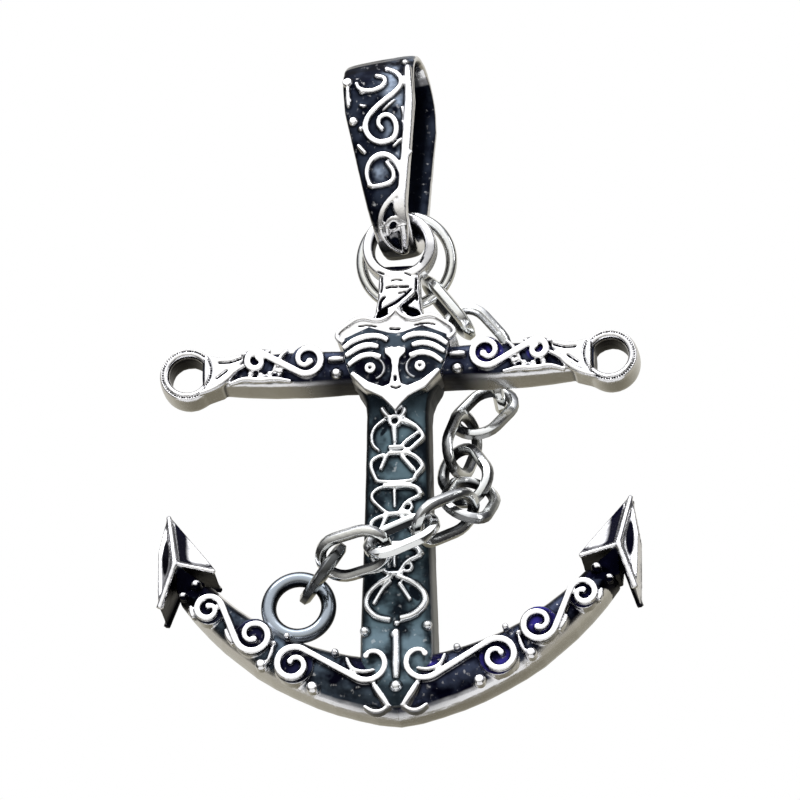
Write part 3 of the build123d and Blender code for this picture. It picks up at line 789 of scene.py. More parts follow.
armDesign = {
    "sections": [  # lower point, upper point, half depth
        ((-1.2, -29.45), (-1.2, -24.3), 2.42), ((0.0, -29.5), (0.0, -24.3), 2.42),
        ((1.7, -29.25), (1.3, -24.2), 2.43), ((3.3, -28.8), (2.6, -24.1), 2.45),
        ((5.0, -28.25), (3.9, -23.85), 2.45), ((6.6, -27.6), (5.2, -23.5), 2.45),
        ((8.3, -26.75), (6.6, -23.05), 2.45), ((9.9, -25.85), (8.0, -22.5), 2.45),
        ((11.3, -24.9), (9.3, -21.85), 2.43), ((12.6, -23.8), (10.5, -21.1), 2.4),
        ((13.85, -22.7), (11.6, -20.35), 2.35), ((15.0, -21.5), (12.7, -19.5), 2.3),
        ((16.2, -20.1), (13.6, -18.7), 2.2), ((17.2, -18.7), (14.4, -17.9), 2.1),
    ],
    "scrolls": [
        ((14.6, -20.35, 1.07, 430), (11.1, -22.65, 1.38, 440)),
        ((7.95, -25.2, 1.42, 440), (2.1, -25.15, 1.7, 240)),
    ],
    "voxel": 0.09, "polish": 4,
    "lineWidth": 0.235,
    "front": -2.9,
    "plate": {"spare": 0.1, "back": -1.6, "sunk": 0.25, "leastTurn": 360},  # ground under a whole curl
    "scrollDepths": (0, 0.45),  # the layers of each raised line, behind the front
    "lineDepths": (0.15, 0.5),
    "beadDepths": (0.3, 0.75),
    "lines": [  # points and half width
        ([(1.6, -25.9), (2.5, -26.1), (3.45, -25.8), (3.85, -24.8)], 0.2),
        ([(13.3, -22.0), (13.1, -22.7), (12.7, -23.3)], 0.18),
        ([(1.75, -27.05), (1.3, -27.8), (0.45, -29.1)], 0.3),
        ([(0.6, -29.0), (1.2, -29.4), (1.9, -29.35), (2.5, -28.85)], 0.22),
        ([(9.55, -23.6), (9.75, -24.3), (10.0, -24.9)], 0.17),
        ([(16.0, -19.9), (16.0, -20.5), (15.8, -21.0)], 0.16),
    ],
    "beads": [
        (15.6, -18.2, 0.42), (16.6, -19.1, 0.36), (8.5, -22.75, 0.28), (10.5, -25.05, 0.48),
        (6.5, -27.1, 0.5), (4.75, -24.25, 0.3), (9.5, -23.3, 0.22),
    ],
}
flukeDesign = {
    "tip": (18.1, 0.45, -11.6),
    "outer": (18.66, 1.35, -15.1),
    "barb": (18.55, 2.0, -19.8),
    "notch": (17.3, 2.55, -16.3),
    "inner": (14.25, 2.0, -16.95),
    "ridge": 0.26,
    "root": (16.4, 1.4, -18.6),
    "lens": (18.14, -15.5, 0.34, 1.8, 0.0),  # a black oval: x, z, half width, half height, slant
    "blades": (("tip", "outer", "notch"), ("outer", "barb", "notch"), ("tip", "notch", "inner")),
    "neck": [(x, y, z) for x, z in ((15.0, -17.7), (17.3, -18.3)) for y in (-1.4, 1.4)],
}


def makeArms():
    d = armDesign
    mesh = bmesh.new()
    stations = []
    for low, high, depth in d["sections"]:
        low, high = Vector((low[0], 0, low[1])), Vector((high[0], 0, high[1]))
        stations.append(station((low + high) / 2, (high - low) / 2, (0, depth, 0)))
    addBar(mesh, stations, power=2.5)
    front, width = d["front"], d["lineWidth"]
    plate = d["plate"]
    for x, z, radius, turn in [spot for pair in d["scrolls"] for spot in pair]:
        if turn > plate["leastTurn"]:
            addPlate(mesh, circle(x, z, radius + plate["spare"]), plate["back"], front + plate["sunk"])
    addHull(mesh, flukePair("notch") + flukePair("root") + flukeDesign["neck"])
    plain = BVHTree.FromBMesh(mesh)
    for names in flukeDesign["blades"]:
        addHull(mesh, [spot for name in names for spot in flukePair(name)])
    addLines(mesh, flukeRidges())
    lines = []
    for first, second in d["scrolls"]:
        path = sScroll(first, second, -1)
        for deep in d["scrollDepths"]:
            lines += ribbon(path, front + deep, width * 1.15, width * 0.85, 0.35)
        for spot in (path[0], path[-1]):
            addBead(mesh, (spot[0], front, spot[1]), width * 1.1)
    for points, radius in d["lines"]:
        for deep in d["lineDepths"]:
            lines += ribbon(smoothPath(points), front + deep, radius, radius * 0.7)
    for x, z, radius in d["beads"]:
        for deep in d["beadDepths"]:
            addBead(mesh, (x, front + deep, z), radius)
    addLines(mesh, lines)
    left = cast("anchor_left_arm", mesh, d["voxel"], d["polish"])
    flattenTops(left.data, front - 0.1)
    curls = [(x, z, radius) for pair in d["scrolls"] for x, z, radius, _ in pair]
    markHeight(left, plain, armPaintedShade, lambda points: curlTint(points, curls))
    half = bmesh.new()
    half.from_mesh(left.data)
    cut = bmesh.ops.bisect_plane(
        half, geom=half.verts[:] + half.edges[:] + half.faces[:],
        plane_co=(0, 0, 0), plane_no=(1, 0, 0), clear_inner=True,
    )["geom_cut"]
    bmesh.ops.holes_fill(half, edges=madeEdges(cut))
    half.to_mesh(left.data)
    half.free()
    right = newObject("anchor_right_arm", left.data.copy())
    flip = bmesh.new()
    flip.from_mesh(right.data)
    bmesh.ops.scale(flip, vec=(-1, 1, 1), verts=flip.verts)
    bmesh.ops.reverse_faces(flip, faces=flip.faces)
    flip.to_mesh(right.data)
    flip.free()
    settleOnAnchor(left, indigoSilver)
    settleOnAnchor(right, castSilver)


def flukePair(name):
    x, y, z = flukeDesign[name]
    return [(x, -y, z), (x, y, z)]


def flukeRidges():
    f = flukeDesign
    ridges = [("tip", "notch", 1.1), ("notch", "barb", 1.15), ("notch", "inner", 0.8)]
    ridges += [("tip", "outer", 0.6), ("outer", "barb", 0.6), ("tip", "inner", 0.6)]
    lines = []
    for a, b, share in ridges:
        for side in (-1, 1):
            ends = [(f[n][0], side * f[n][1], f[n][2]) for n in (a, b)]
            lines.append((ends, [f["ridge"] * share * 0.8, f["ridge"] * share]))
    return lines


def armPaintedShade(points, normals, relief):
    # painted shade on the flukes: dark bands and an oval on the blades' fronts, their undersides and inner sides,
    # the sunk socket, a grey rim and a light veil
    f = flukeDesign
    front = {n: (f[n][0], -f[n][1], f[n][2]) for n in ("tip", "notch", "inner", "barb")}
    x, y, z = points.T
    tip, notch = front["tip"], front["notch"]
    ridge = np.minimum.reduce([
        segmentGap(points, tip, notch), segmentGap(points, notch, front["barb"]),
        segmentGap(points, notch, front["inner"]) + 0.08,
    ])
    clear = ramp(ridge, 0.3, 0.42)
    blade = (x > 13.4) * (z > np.where(x > 17, -20.3, -19.6))
    inside = x < tip[0] + (notch[0] - tip[0]) * (z - tip[2]) / (notch[2] - tip[2])
    band = ramp(-segmentGap(points, tip, notch), -1.45, -0.85) * inside * (z > notch[2]) * (y < 0)
    foot = ramp(-segmentGap(points, notch, front["inner"]), -0.75, -0.45) * 0.7
    foot = foot * (z > notch[2] - 0.5) * (y < 0)
    lens = oval(x, z, f["lens"], 0.4) * ~inside * (y < 0)
    inward = ramp(-normals[:, 0], 0.1, 0.35) * (z < notch[2] - 0.3) * (normals[:, 2] < 0.35)
    under = np.maximum(ramp(-normals[:, 2], 0.1, 0.3), inward)
    sunk = (y > -2.15) * (y < 1.0) * (z < -16.9) * (z > -19.0) * (x > 14.0) * (1 - relief)
    rim = ramp(-segmentGap(points, tip, front["inner"]), -0.9, -0.1) * 0.3 * (y < 0)
    veil = 0.1 * (y < 0) * (z > notch[2])
    black = blade * clear * np.clip(band + foot + lens + under + sunk + rim + veil, 0, 1)
    # a shadow under the middle, where the arms meet below the shank
    middle = ramp(-np.abs(x), -6.5, -1.0) * ramp(-normals[:, 2], 0.3, 0.7) * ramp(-y, 0.6, 1.9) * 0.8
    return np.maximum(black, middle)


makeArms()


# Head: the eye, the neck, the coronet and the mask

headDesign = {
    "voxel": 0.07, "polish": 3,
    "eye": {"z": 10.3, "bend": 2.47, "halfWide": 0.46, "halfDeep": 0.9},
    "neck": [  # z, half width, half depth
        (8.6, 1.4, 0.75), (7.9, 1.6, 0.85), (6.0, 1.7, 0.95), (4.6, 1.9, 1.1), (3.6, 2.4, 1.3),
        (2.6, 2.9, 1.7), (1.0, 3.2, 1.9),
    ],
    "maskFront": -3.0,
    "plates": {  # its back, and its front from the mask's front
        "coronet": (1.9, 0.1), "chin": (-1.5, -0.2), "nose": (-1.5, -0.22),
    },
    "ridgeDepth": -1.25,
    "recessPress": (0.7, -0.6),  # how deep, and only in front of this
    "dashPress": (1.5, -0.4),  # how deep for its width, and only in front of this
    "mask": [
        (0, -4.6), (0.55, -3.95), (1.1, -3.4), (2.4, -2.6), (3.5, -1.5), (3.95, -0.3), (4.12, 0.8),
        (3.9, 1.7),
        (2.1, 2.5), (0.6, 2.0), (0, 1.9),
    ],
    "chin": [
        (0, -4.6), (0.48, -4.0), (1.06, -3.4), (2.4, -2.68), (3.57, -1.35), (3.32, -1.1), (2.1, -2.05),
        (0.97, -2.5), (0.45, -2.3), (0, -2.35),
    ],
    "nose": [
        (0, -2.35), (0.45, -2.3), (0.3, -1.6), (0.24, -0.9), (0.36, -0.2), (0.78, 0.25), (0.85, 0.62),
        (0.3, 0.8), (0, 0.72),
    ],
    "brows": [
        [(4.1, 0.84), (3.3, 1.5), (2.1, 1.84), (1.1, 1.74), (0.58, 1.36)],
        [(3.9, 0.2), (2.9, 0.9), (2.0, 1.08), (1.3, 0.86)],
        [(3.68, -0.6), (2.82, 0.1), (1.92, 0.27), (1.1, 0.0)],
    ],
    "pupil": {"x": 1.96, "z": -0.9, "bend": 0.3, "wire": 0.15},
    "lid": {"x": 1.75, "z": -0.95, "radius": 0.88},
    "panel": (1.95, -0.85, 1.7, 1.25, 0.0),  # the dark oval round each eye
    "stud": (4.75, -2.0, -0.8, 0.42),
    "coronet": [
        (0, 1.6), (0.4, 1.72), (0.75, 2.0), (1.3, 2.26), (2.1, 2.36), (2.9, 2.18), (3.6, 1.82), (4.12, 1.38),
        (4.7, 1.85), (4.5, 2.35), (3.75, 2.9), (3.1, 3.35), (2.35, 3.42), (1.45, 3.08), (0.6, 3.38),
        (0, 4.05),
    ],
    "rimFrom": 7,
    "ridges": [
        ([(-1.5, 3.55), (-0.62, 4.16), (-0.04, 4.95), (0.72, 5.53), (1.4, 6.3)], 0.24),
        ([(-0.04, 4.95), (0.24, 4.1), (0.5, 3.5)], 0.2),
    ],
    "recesses": [  # x, z, wide, tall, turn
        (-1.3, 4.5, 0.42, 0.62, -30), (1.15, 4.5, 0.66, 0.42, -28), (0.62, 4.85, 0.28, 0.3, 0),
    ],
    "dashes": [  # grooves: points and how wide they are
        ([(-0.95, 6.72), (-0.55, 6.8), (-0.15, 6.78)], 0.12), ([(0.1, 6.78), (0.75, 6.74)], 0.12),
        ([(-1.45, 4.3), (-1.1, 5.0), (-0.5, 5.25), (0.2, 5.75), (0.95, 6.45)], 0.17),
        ([(-1.5, 5.0), (-1.45, 5.6), (-1.15, 5.9)], 0.16), ([(0.35, 5.0), (1.0, 5.5), (1.45, 5.95)], 0.12),
        ([(-0.6, 3.75), (-0.2, 4.2), (-0.05, 4.5)], 0.2), ([(0.0, 6.2), (0.5, 6.3)], 0.08),
        ([(1.4, 3.75), (2.0, 3.85), (2.6, 3.75)], 0.1), ([(-1.6, 8.1), (-1.2, 7.9)], 0.09),
        ([(1.7, 8.8), (1.9, 9.2)], 0.1), ([(-2.9, 2.7), (-2.2, 2.8), (-1.5, 2.62)], 0.08),
        ([(1.5, 2.62), (2.3, 2.8), (3.1, 2.6)], 0.08), ([(-0.4, 2.4), (0.3, 2.35)], 0.12),
        ([(-0.3, -2.6), (0.1, -2.75), (0.4, -2.6)], 0.09),
        ([(-1.35, 7.6), (-1.3, 6.9), (-1.4, 6.4)], 0.1), ([(1.38, 7.4), (1.34, 6.5), (1.45, 5.6)], 0.12),
        ([(-0.6, 7.3), (-0.2, 7.42), (0.3, 7.3)], 0.07), ([(0.5, 7.9), (0.95, 7.7)], 0.08),
        ([(0.0, -1.75), (0.0, -2.05)], 0.13),
    ],
}


def mirrorOutline(right):
    return right + [(-x, z) for x, z in reversed(right) if x > 0]


def makeHead():
    mesh = bmesh.new()
    h = headDesign
    eye, front = h["eye"], h["maskFront"]
    addPlate(mesh, mirrorOutline(h["mask"]), 0, front)
    plain = BVHTree.FromBMesh(mesh)
    addHoop(mesh, (0, 0, eye["z"]), eye["bend"], eye["halfWide"], eye["halfDeep"], power=4)
    addBar(mesh, [station((0, 0, z), (w, 0, 0), (0, d, 0)) for z, w, d in h["neck"]], power=5)
    for name, (back, lift) in h["plates"].items():
        addPlate(mesh, mirrorOutline(h[name]), back, front + lift)
    lines = []
    for side in (-1, 1):
        for brow in h["brows"]:
            path = smoothPath(onSide(side, brow))
            lines += ribbon(path, front - 0.12, 0.24, 0.17, 0.2)
        lid, reach = h["lid"], h["lid"]["radius"]
        turns = [math.radians(100 + 12 * i) for i in range(14)]
        arc = [(side * (lid["x"] + reach * math.cos(a)), lid["z"] + reach * math.sin(a)) for a in turns]
        lines += ribbon(arc, front - 0.04, 0.13, 0.09, 0.15)
        ball = h["pupil"]
        addHoop(mesh, (side * ball["x"], front, ball["z"]), ball["bend"], ball["wire"], 0.3)
        addBead(mesh, (side * ball["x"] + 0.06, front, ball["z"] - 0.03), ball["wire"])
        x, y, z, radius = h["stud"]
        addBead(mesh, (side * x, y, z), radius)
        rim = smoothPath(onSide(side, h["coronet"][h["rimFrom"]:]))
        lines += ribbon(rim, front + 0.12, 0.2, 0.16)
    for points, radius in h["ridges"]:
        path = smoothPath(points)
        lines.append(([(x, h["ridgeDepth"], z) for x, z in path], tapered(len(path), radius, radius * 0.8)))
    addLines(mesh, lines)
    piece = cast("anchor_head", mesh, h["voxel"], h["polish"])
    flattenTops(piece.data, front - 0.2)
    black = np.zeros(len(piece.data.vertices))
    for x, z, wide, tall, turn in h["recesses"]:
        share = pressDent(piece.data, x, z, wide, tall, *h["recessPress"], turn)
        black = np.maximum(black, ramp(share, 0.2, 0.5))
    deep, limit = h["dashPress"]
    for dash, wide in h["dashes"]:
        share = pressLine(piece.data, smoothPath(dash, 4), wide, wide * deep, limit)
        black = np.maximum(black, ramp(share, 0.1, 0.6))

    def oxideAndShade(points, normals, relief):
        # the ridges stay bright and the pressed hollows black, and painted shade darkens the inside of the eye,
        # the back of the mask and the right side of the eye ring
        recess = black * ((points[:, 1] > -1.28) | (points[:, 2] < 3.4))
        reach = np.hypot(points[:, 0], points[:, 2] - eye["z"])
        hole = ramp(-reach, -2.2, -2.08)
        behind = ramp(points[:, 1], -2.4, -1.6) * (points[:, 2] < 1.2)
        x, z = np.abs(points[:, 0]), points[:, 2]
        panel = oval(x, z, h["panel"], 0.6) * ramp(points[:, 1], -3.12, -3.04) * 0.85
        veil = ramp(points[:, 0], 1.2, 2.2) * ramp(z, 8.0, 8.8) * ramp(-z, -10.8, -10.0) * 0.45
        return np.maximum.reduce([recess, hole, behind * 0.9, panel, veil])

    markHeight(piece, plain, oxideAndShade, blur=60)
    settleOnAnchor(piece, castSilver)


makeHead()


# Bail: a tapering band bent into a loop

bailDesign = {
    "voxel": 0.085, "polish": 3,
    "rise": 9.1,
    "foot": {"bend": 2.4, "wall": 1.4, "halfWidth": 1.45},
    "head": {"bend": 2.9, "wall": 0.82, "halfWidth": 2.9},
    "headShift": 0.15,
    "widenFrom": -1.9, "shoulder": 0.85,  # the height where it starts to widen, and the share of the rise
    "topLift": 0.24, "planeFrom": -2.6,  # how far lines stand up once planed, and above what height
    "scrolls": [  # lines of x and distance up the front from the foot's centre, and the half width
        ([
            (0.98, 10.74), (1.8, 10.19), (2.23, 9.37), (1.83, 8.61), (0.52, 7.88), (-0.54, 7.1), (-1.07, 6.3),
            (-1.01, 5.32), (-0.33, 4.51), (0.53, 4.35), (1.27, 4.58), (1.5, 5.57), (1.23, 6.39), (0.61, 6.76),
            (0.09, 6.47), (-0.02, 5.98), (0.26, 5.56),
        ], 0.22),
        ([
            (0.14, 10.21), (0.74, 9.95), (0.9, 9.48), (0.44, 9.05), (-0.51, 8.93), (-1.35, 9.3),
            (-1.5, 9.8),
        ], 0.18),
        ([
            (-1.1, 0.98), (-1.3, 1.95), (-1.04, 2.81), (-0.43, 3.34), (0.32, 3.4), (1.08, 2.81), (1.49, 1.83),
            (1.66, 0.9), (1.34, 0.05), (0.47, -0.53), (-0.18, -1.12), (-0.63, -1.97), (-0.75, -2.92),
            (-0.55, -3.8),
            (-0.1, -4.7), (0.4, -5.3),
        ], 0.22),
        ([(0.45, 2.6), (0.98, 1.67), (0.79, 0.93), (0.09, 0.73), (-0.9, 0.8)], 0.17),
        ([(-0.25, -3.13), (-0.19, -2.4), (0.35, -1.96), (0.85, -2.22), (0.77, -2.81), (0.29, -2.97)], 0.22),
    ],
    "lines": [
        ([(0.39, 7.06), (0.92, 7.48), (1.52, 7.89)], 0.13),
        ([(0.98, 3.86), (1.4, 4.15), (1.78, 4.49)], 0.15), ([(2.13, 2.75), (2.3, 3.0), (2.5, 3.3)], 0.15),
        ([(1.46, -0.4), (1.2, -1.57), (1.16, -2.75), (0.85, -4.2), (0.6, -5.4)], 0.4),
        ([(0.9, -0.6), (0.8, -1.3), (0.95, -1.9)], 0.28),
        ([(-1.82, 4.6), (-1.5, 4.1), (-1.21, 3.7)], 0.2), ([(-1.4, 7.97), (-1.1, 7.75), (-0.85, 7.8)], 0.15),
        ([(-2.25, 9.7), (-2.3, 8.6), (-2.3, 7.9)], 0.2), ([(2.0, 7.2), (2.1, 6.2), (1.95, 5.2)], 0.13),
        ([(1.9, 6.0), (2.3, 5.6), (2.4, 5.1)], 0.15),
    ],
    "rib": [
        (10.8, 2.62), (9.0, 2.68), (7.0, 2.55), (4.0, 2.1), (1.0, 1.6), (-1.0, 1.3), (-3.0, 1.1),
        (-4.4, 0.9),
    ],
    "beads": [
        (-2.25, 10.1, 0.42), (-2.01, 6.66, 0.36), (2.4, 11.3, 0.3), (-1.1, 9.0, 0.24), (-1.45, 5.9, 0.22),
    ],
    "hollow": (0.12, -4.1, 0.42, 0.36),
}


def bailHalfWidth(z):
    b = bailDesign
    low, high = b["widenFrom"], b["shoulder"] * b["rise"]
    share = np.clip((z - low) / (high - low), 0, 1)
    return b["foot"]["halfWidth"] + (b["head"]["halfWidth"] - b["foot"]["halfWidth"]) * share


def bandAt(share):
    # the band's bend and wall, from the foot to the head
    foot, head = bailDesign["foot"], bailDesign["head"]
    return [foot[name] + (head[name] - foot[name]) * share for name in ("bend", "wall")]


def bailShift(z):
    # the head sits a little to one side of the foot
    return bailDesign["headShift"] * min(1, max(0, z / bailDesign["rise"]))


def bailSkin(s, lift=0.0):
    # the point (y, z) on the band's front at a distance s up from the foot's centre, round the head
    b = bailDesign
    foot, head = b["foot"]["bend"] + b["foot"]["wall"], b["head"]["bend"] + b["head"]["wall"]
    rise = b["rise"]
    if s < 0:
        angle = s / foot
        return -(foot + lift) * math.cos(angle), (foot + lift) * math.sin(angle)
    if s > rise:
        angle = (s - rise) / head
        return -(head + lift) * math.cos(angle), rise + (head + lift) * math.sin(angle)
    return -(foot + (head - foot) * s / rise + lift), s


def planeBail(data):
    # flattens the tops of the band's raised lines
    b = bailDesign
    points = coordinates(data)
    share = np.clip(points[:, 2] / b["rise"], 0, 1)
    skin = sum(bandAt(share))
    middle = share * b["rise"]
    reach = np.hypot(points[:, 1], points[:, 2] - middle)
    over = np.maximum(reach - skin - b["topLift"], 0) * castLook["planed"] * (points[:, 2] > b["planeFrom"])
    scale = (reach - over) / np.maximum(reach, 0.1)
    points[:, 1] *= scale
    points[:, 2] = middle + (points[:, 2] - middle) * scale
    setCoordinates(data, points)


def makeBail():
    b = bailDesign
    mesh = bmesh.new()
    stations = []

    def add(centreZ, bend, wall, angle):
        radius = bend + wall / 2
        y, z = radius * math.cos(angle), centreZ + radius * math.sin(angle)
        out = Vector((0, math.cos(angle), math.sin(angle))) * wall / 2
        stations.append(station((bailShift(z), y, z), (bailHalfWidth(z), 0, 0), out))

    for step in range(13):
        add(0, *bandAt(0), math.radians(-180 + 15 * step))
    for step in range(1, 6):
        add(b["rise"] * step / 6, *bandAt(step / 6), 0)
    for step in range(13):
        add(b["rise"], *bandAt(1), math.radians(15 * step))
    for step in range(5, 0, -1):
        add(b["rise"] * step / 6, *bandAt(step / 6), math.pi)
    addBar(mesh, stations, power=3.4, closed=True)
    plain = BVHTree.FromBMesh(mesh)
    lines = []
    for points, radius in b["scrolls"]:
        path = smoothPath(points)
        for lift in (0.14, -0.1):
            placed = [(x, *bailSkin(s, lift)) for x, s in path]
            lines.append((placed, tapered(len(path), radius * 1.1, radius * 0.8)))
        for x, s in (path[0], path[-1]):
            addBead(mesh, (x, *bailSkin(s, 0.1)), radius)
    for points, radius in b["lines"]:
        path = smoothPath(points)
        lines.append(([(x, *bailSkin(s, 0.05)) for x, s in path], tapered(len(path), radius, radius * 0.6)))
    rib = smoothPath(b["rib"])
    lines.append(([(x, *bailSkin(s, -0.06)) for s, x in rib], tapered(len(rib), 0.42, 0.3)))
    for x, s, radius in b["beads"]:
        addBead(mesh, (x, *bailSkin(s)), radius)
    addLines(mesh, lines)
    piece = cast("bail_band", mesh, b["voxel"], b["polish"])
    planeBail(piece.data)

    def oxideAndShade(points, normals, relief):
        # painted shade inside the loop and under the foot, and black in the oval hollow at the foot
        x, y, z = points.T
        share = np.clip(z / b["rise"], 0, 1)
        middle = share * b["rise"]
        reach = np.hypot(y, z - middle)
        inside = ramp(bandAt(share)[0] + 0.3 - reach, 0, 0.2)
        inside *= np.where(y > 0, ramp(bailHalfWidth(z) - x, 0.45, 0.75), 1)
        hx, hs, wide, tall = b["hollow"]
        hollow = oval(x, z, (hx, bailSkin(hs)[1], wide, tall, 0), 0.4) * (y < 0)
        under = ramp(-normals[:, 2], 0.45, 0.8) * (z < -3.1) * (1 - relief) * 0.9
        return np.maximum.reduce([inside * 0.85, hollow, under])

    def tint(points):
        x, y, z = points.T
        centre = ramp(0.9 - np.hypot(x + 0.15, z - 1.9), 0, 0.6)
        return np.maximum(ramp(x, 0.1, 1.2) * ramp(z, -1.0, 5.0), centre * 0.8) * (y < 0)

    markHeight(piece, plain, oxideAndShade, tint)
    settle(piece, bailPlace, bailSilver, "bail", "cast_silver", "bail")


makeBail()


# Rings and links

def markClean(piece):
    count = len(piece.data.vertices)
    for name, value in (("height", 0.5), ("relief", 1.0), ("oxideAndShade", 0.0)):
        setValues(piece.data, name, [value] * count)


def shadeWire(data, centre, inner, outer=0.0):
    # painted shade: the wire is black on the side that faces the ring's own middle, and by the outer share also on
    # the side that faces away
    inward = np.array(centre) - coordinates(data)
    inward /= np.maximum(np.linalg.norm(inward, axis=1), 0.01)[:, None]
    facing = (triples(data.vertex_normals, "vector") * inward).sum(axis=1)
    black = ramp(facing, 0.15, 0.55) * inner + ramp(-facing, 0.5, 0.9) * outer
    setValues(data, "oxideAndShade", np.clip(black, 0, 1))


def newPiece(name, mesh):
    bmesh.ops.remove_doubles(mesh, verts=mesh.verts, dist=1e-4)
    return meshPiece(name, mesh)


endRingDesign = {"centre": (-7.76, -1.2, -19.93), "bend": 2.35, "wire": 0.6}
startRingDesign = {"centre": (0.25, 2.254, 10.198), "bend": 3.55, "wire": 0.45, "tilt": 14.0}


def makeRings():
    mesh = bmesh.new()
    end = endRingDesign
    addHoop(mesh, end["centre"], end["bend"], end["wire"], end["wire"], power=2)
    piece = newPiece("anchor_end_ring", mesh)
    markClean(piece)
    # painted shade: black on the ring's inner side and dark on its outer side, leaving its front ridge bright
    shadeWire(piece.data, end["centre"], 1.0, 0.75)
    settleOnAnchor(piece, gunmetal, "wire_silver")
    mesh = bmesh.new()
    start = startRingDesign
    addHoop(mesh, start["centre"], start["bend"], start["wire"], start["wire"], start["tilt"], power=2)
    piece = newPiece("start_ring_wire", mesh)
    markClean(piece)
    settleOnAnchor(piece, wireSilver, "wire_silver", "start_ring")


linkDesign = {
    # shade: painted shade on each link's inner side
    "length": 6.4, "width": 4.5, "wire": 0.98, "sides": 6, "edge": 0.05, "shade": 0.97,
    "bevelFrom": 30, "sharpFrom": 24,
    "outerShade": {4: 0.6, 5: 0.75, 6: 0.6, 7: 0.75, 8: 0.4, 11: 0.9},  # painted shade on the side facing away, by link
}


def linkFrame(node):
    # a link's middle and its long, wide and thin directions, read from its solid
    points = np.array([vert.co for vert in node.data.vertices])
    middle = points.mean(axis=0)
    spread = np.linalg.svd(points - middle, full_matrices=False)[2]
    along, across = Vector(spread[0]), Vector(spread[1])
    turn = Matrix((along, across, along.cross(across))).transposed().to_4x4()
    return Matrix.Translation(Vector(middle)) @ turn @ Matrix.Scale(millimetre, 4)


def makeLinks():
    d = linkDesign
    bend = (d["width"] - d["wire"]) / 2
    reach = d["length"] / 2 - d["wire"] / 2 - bend
    for number in range(1, 12):
        node = f"link_{number:02d}"
        mesh = bmesh.new()
        half = d["wire"] / 2
        stations = []
        for end in (1, -1):
            for step in range(13):
                angle = math.radians(-90 + 15 * step)
                out = Vector((end * math.cos(angle), end * math.sin(angle), 0))
                centre = Vector((end * reach, 0, 0)) + out * bend
                stations.append(station(centre, out * half, (0, 0, half)))
        addBar(mesh, stations, power=2, closed=True, sides=d["sides"])
        piece = newPiece(f"{node}_wire", mesh)
        bevel = piece.modifiers.new("edges", "BEVEL")
        bevel.width = d["edge"]
        bevel.segments = 2
        bevel.limit_method = "ANGLE"
        bevel.angle_limit = math.radians(d["bevelFrom"])
        applyModifiers(piece)
        markClean(piece)
        shadeWire(piece.data, (0, 0, 0), d["shade"], d["outerShade"].get(number, 0.0))
        piece.data.set_sharp_from_angle(angle=math.radians(d["sharpFrom"]))
        settle(piece, linkFrame(nodes[node]), wireSilver, "hanging_anchor", "wire_silver", node)


makeRings()
makeLinks()


# Camera, light and floor

cameraSpot = {
    "turn": 7.0, "below": 22.0, "distance": 0.9, "pixel": 0.0000782,
    "picture": 800, "drawn": (400, 371),  # the picture's side, and the pixel of the stock's centre
}


def makeCamera():
    spot = cameraSpot
    turn, below = math.radians(spot["turn"]), math.radians(spot["below"])
    back = Vector((math.sin(turn) * math.cos(below), -math.cos(turn) * math.cos(below), -math.sin(below)))
    camera = bpy.data.cameras.new("camera")
    width = spot["picture"] * spot["pixel"]
    camera.sensor_width = 36
    camera.lens = camera.sensor_width * spot["distance"] / width
    camera.clip_end = 10
    holder = newObject("camera", camera)
    holder.rotation_mode = "QUATERNION"
    holder.rotation_quaternion = (-back).to_track_quat("-Z", "Y")
    up = holder.rotation_quaternion @ Vector((0, 1, 0))
    side = holder.rotation_quaternion @ Vector((1, 0, 0))
    x, y = spot["drawn"]
    middle = spot["picture"] / 2
    aim = stockCentre - side * (x - middle) * spot["pixel"] + up * (y - middle) * spot["pixel"]
    holder.location = aim + back * spot["distance"]
    bpy.context.scene.camera = holder


studio = {
    # the direction that a flat front face mirrors, and how bright the room is away from it
    "front": (-0.12, -0.92, 0.37),
    "around": [
        (0.0, (0.24, 0.225, 0.18)), (0.1, (0.5, 0.48, 0.42)), (0.24, (0.62, 0.6, 0.56)),
        (0.38, (0.08, 0.08, 0.075)), (0.52, (0.03, 0.03, 0.035)), (0.66, (0.16, 0.16, 0.17)),
        (0.8, (0.62, 0.62, 0.64)), (0.9, (1.1, 1.1, 1.1)),
    ],
    "height": [
        (0.0, (0.4, 0.38, 0.34)), (0.35, (0.8, 0.78, 0.72)), (0.6, (1.0, 1.0, 1.0)), (0.8, (1.3, 1.3, 1.3)),
        (0.93, (3.5, 3.5, 3.5)),
    ],
}


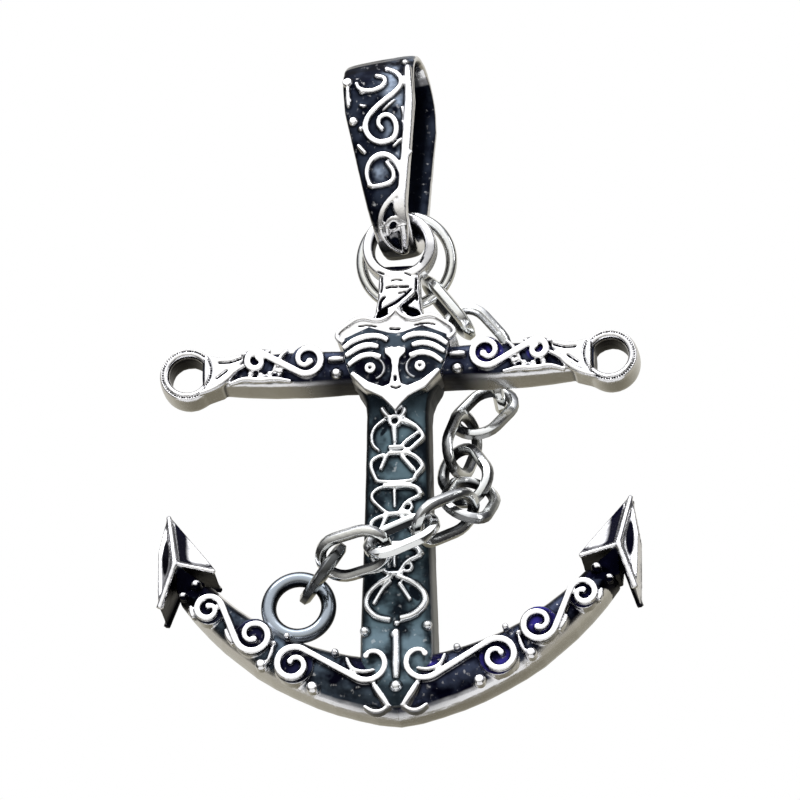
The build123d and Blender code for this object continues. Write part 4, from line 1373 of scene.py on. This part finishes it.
def makeWorld():
    world = bpy.data.worlds.new("studio")
    bpy.context.scene.world = world
    world.use_nodes = True
    tree = world.node_tree
    tree.nodes.clear()
    new, link = tree.nodes.new, tree.links.new
    where = new("ShaderNodeTexCoord").outputs["Generated"]

    def fade(source, stops):
        shift = new("ShaderNodeMapRange")
        shift.inputs["From Min"].default_value = -1
        link(source, shift.inputs["Value"])
        node = new("ShaderNodeValToRGB")
        elements = node.color_ramp.elements
        while len(elements) < len(stops):
            elements.new(0.5)
        for element, (position, colour) in zip(elements, stops):
            element.position = position
            element.color = (*colour, 1)
        link(shift.outputs[0], node.inputs[0])
        return node.outputs["Color"]

    towards = new("ShaderNodeVectorMath")
    towards.operation = "DOT_PRODUCT"
    link(where, towards.inputs[0])
    towards.inputs[1].default_value = Vector(studio["front"]).normalized()
    split = new("ShaderNodeSeparateXYZ")
    link(where, split.inputs[0])
    mix = new("ShaderNodeMix")
    mix.data_type = "RGBA"
    mix.blend_type = "MULTIPLY"
    mix.inputs["Factor"].default_value = 1
    link(fade(towards.outputs["Value"], studio["around"]), mix.inputs["A"])
    link(fade(split.outputs["Z"], studio["height"]), mix.inputs["B"])
    room = new("ShaderNodeBackground")
    link(mix.outputs["Result"], room.inputs["Color"])
    plain = new("ShaderNodeBackground")
    plain.inputs["Color"].default_value = (1, 1, 1, 1)
    seen = new("ShaderNodeLightPath")
    pick = new("ShaderNodeMixShader")
    link(seen.outputs["Is Camera Ray"], pick.inputs[0])
    link(room.outputs[0], pick.inputs[1])
    link(plain.outputs[0], pick.inputs[2])
    out = new("ShaderNodeOutputWorld")
    link(pick.outputs[0], out.inputs["Surface"])


softboxes = {  # place, size and power
    "keyBox": ((-0.3, -0.35, 0.45), (0.25, 0.12), 0.5),
    "sideBox": ((0.5, -0.2, 0.15), (0.06, 0.35), 0.25),
}


def makeSoftbox(name, place, size, power):
    light = bpy.data.lights.new(name, "AREA")
    light.shape = "RECTANGLE"
    light.size, light.size_y = size
    light.energy = power
    holder = newObject(name, light)
    holder.location = place
    holder.rotation_mode = "QUATERNION"
    holder.rotation_quaternion = (stockCentre - Vector(place)).to_track_quat("-Z", "Y")


floorDesign = {"size": 0.4, "place": (0, 0, -0.5), "colour": (0.85, 0.85, 0.84, 1), "roughness": 0.8}


def makeFloor():
    mesh = bmesh.new()
    place = Matrix.Translation(floorDesign["place"])
    bmesh.ops.create_grid(mesh, x_segments=2, y_segments=2, size=floorDesign["size"], matrix=place)
    floor = newPiece("floor", mesh)
    material = bpy.data.materials.new("paleFloor")
    material.use_nodes = True
    shader = material.node_tree.nodes["Principled BSDF"]
    shader.inputs["Base Color"].default_value = floorDesign["colour"]
    shader.inputs["Roughness"].default_value = floorDesign["roughness"]
    floor.data.materials.append(material)


makeCamera()
makeWorld()
for name, (place, size, power) in softboxes.items():
    makeSoftbox(name, place, size, power)
makeFloor()
bpy.context.scene.view_settings.view_transform = "Standard"
print("stage ready")
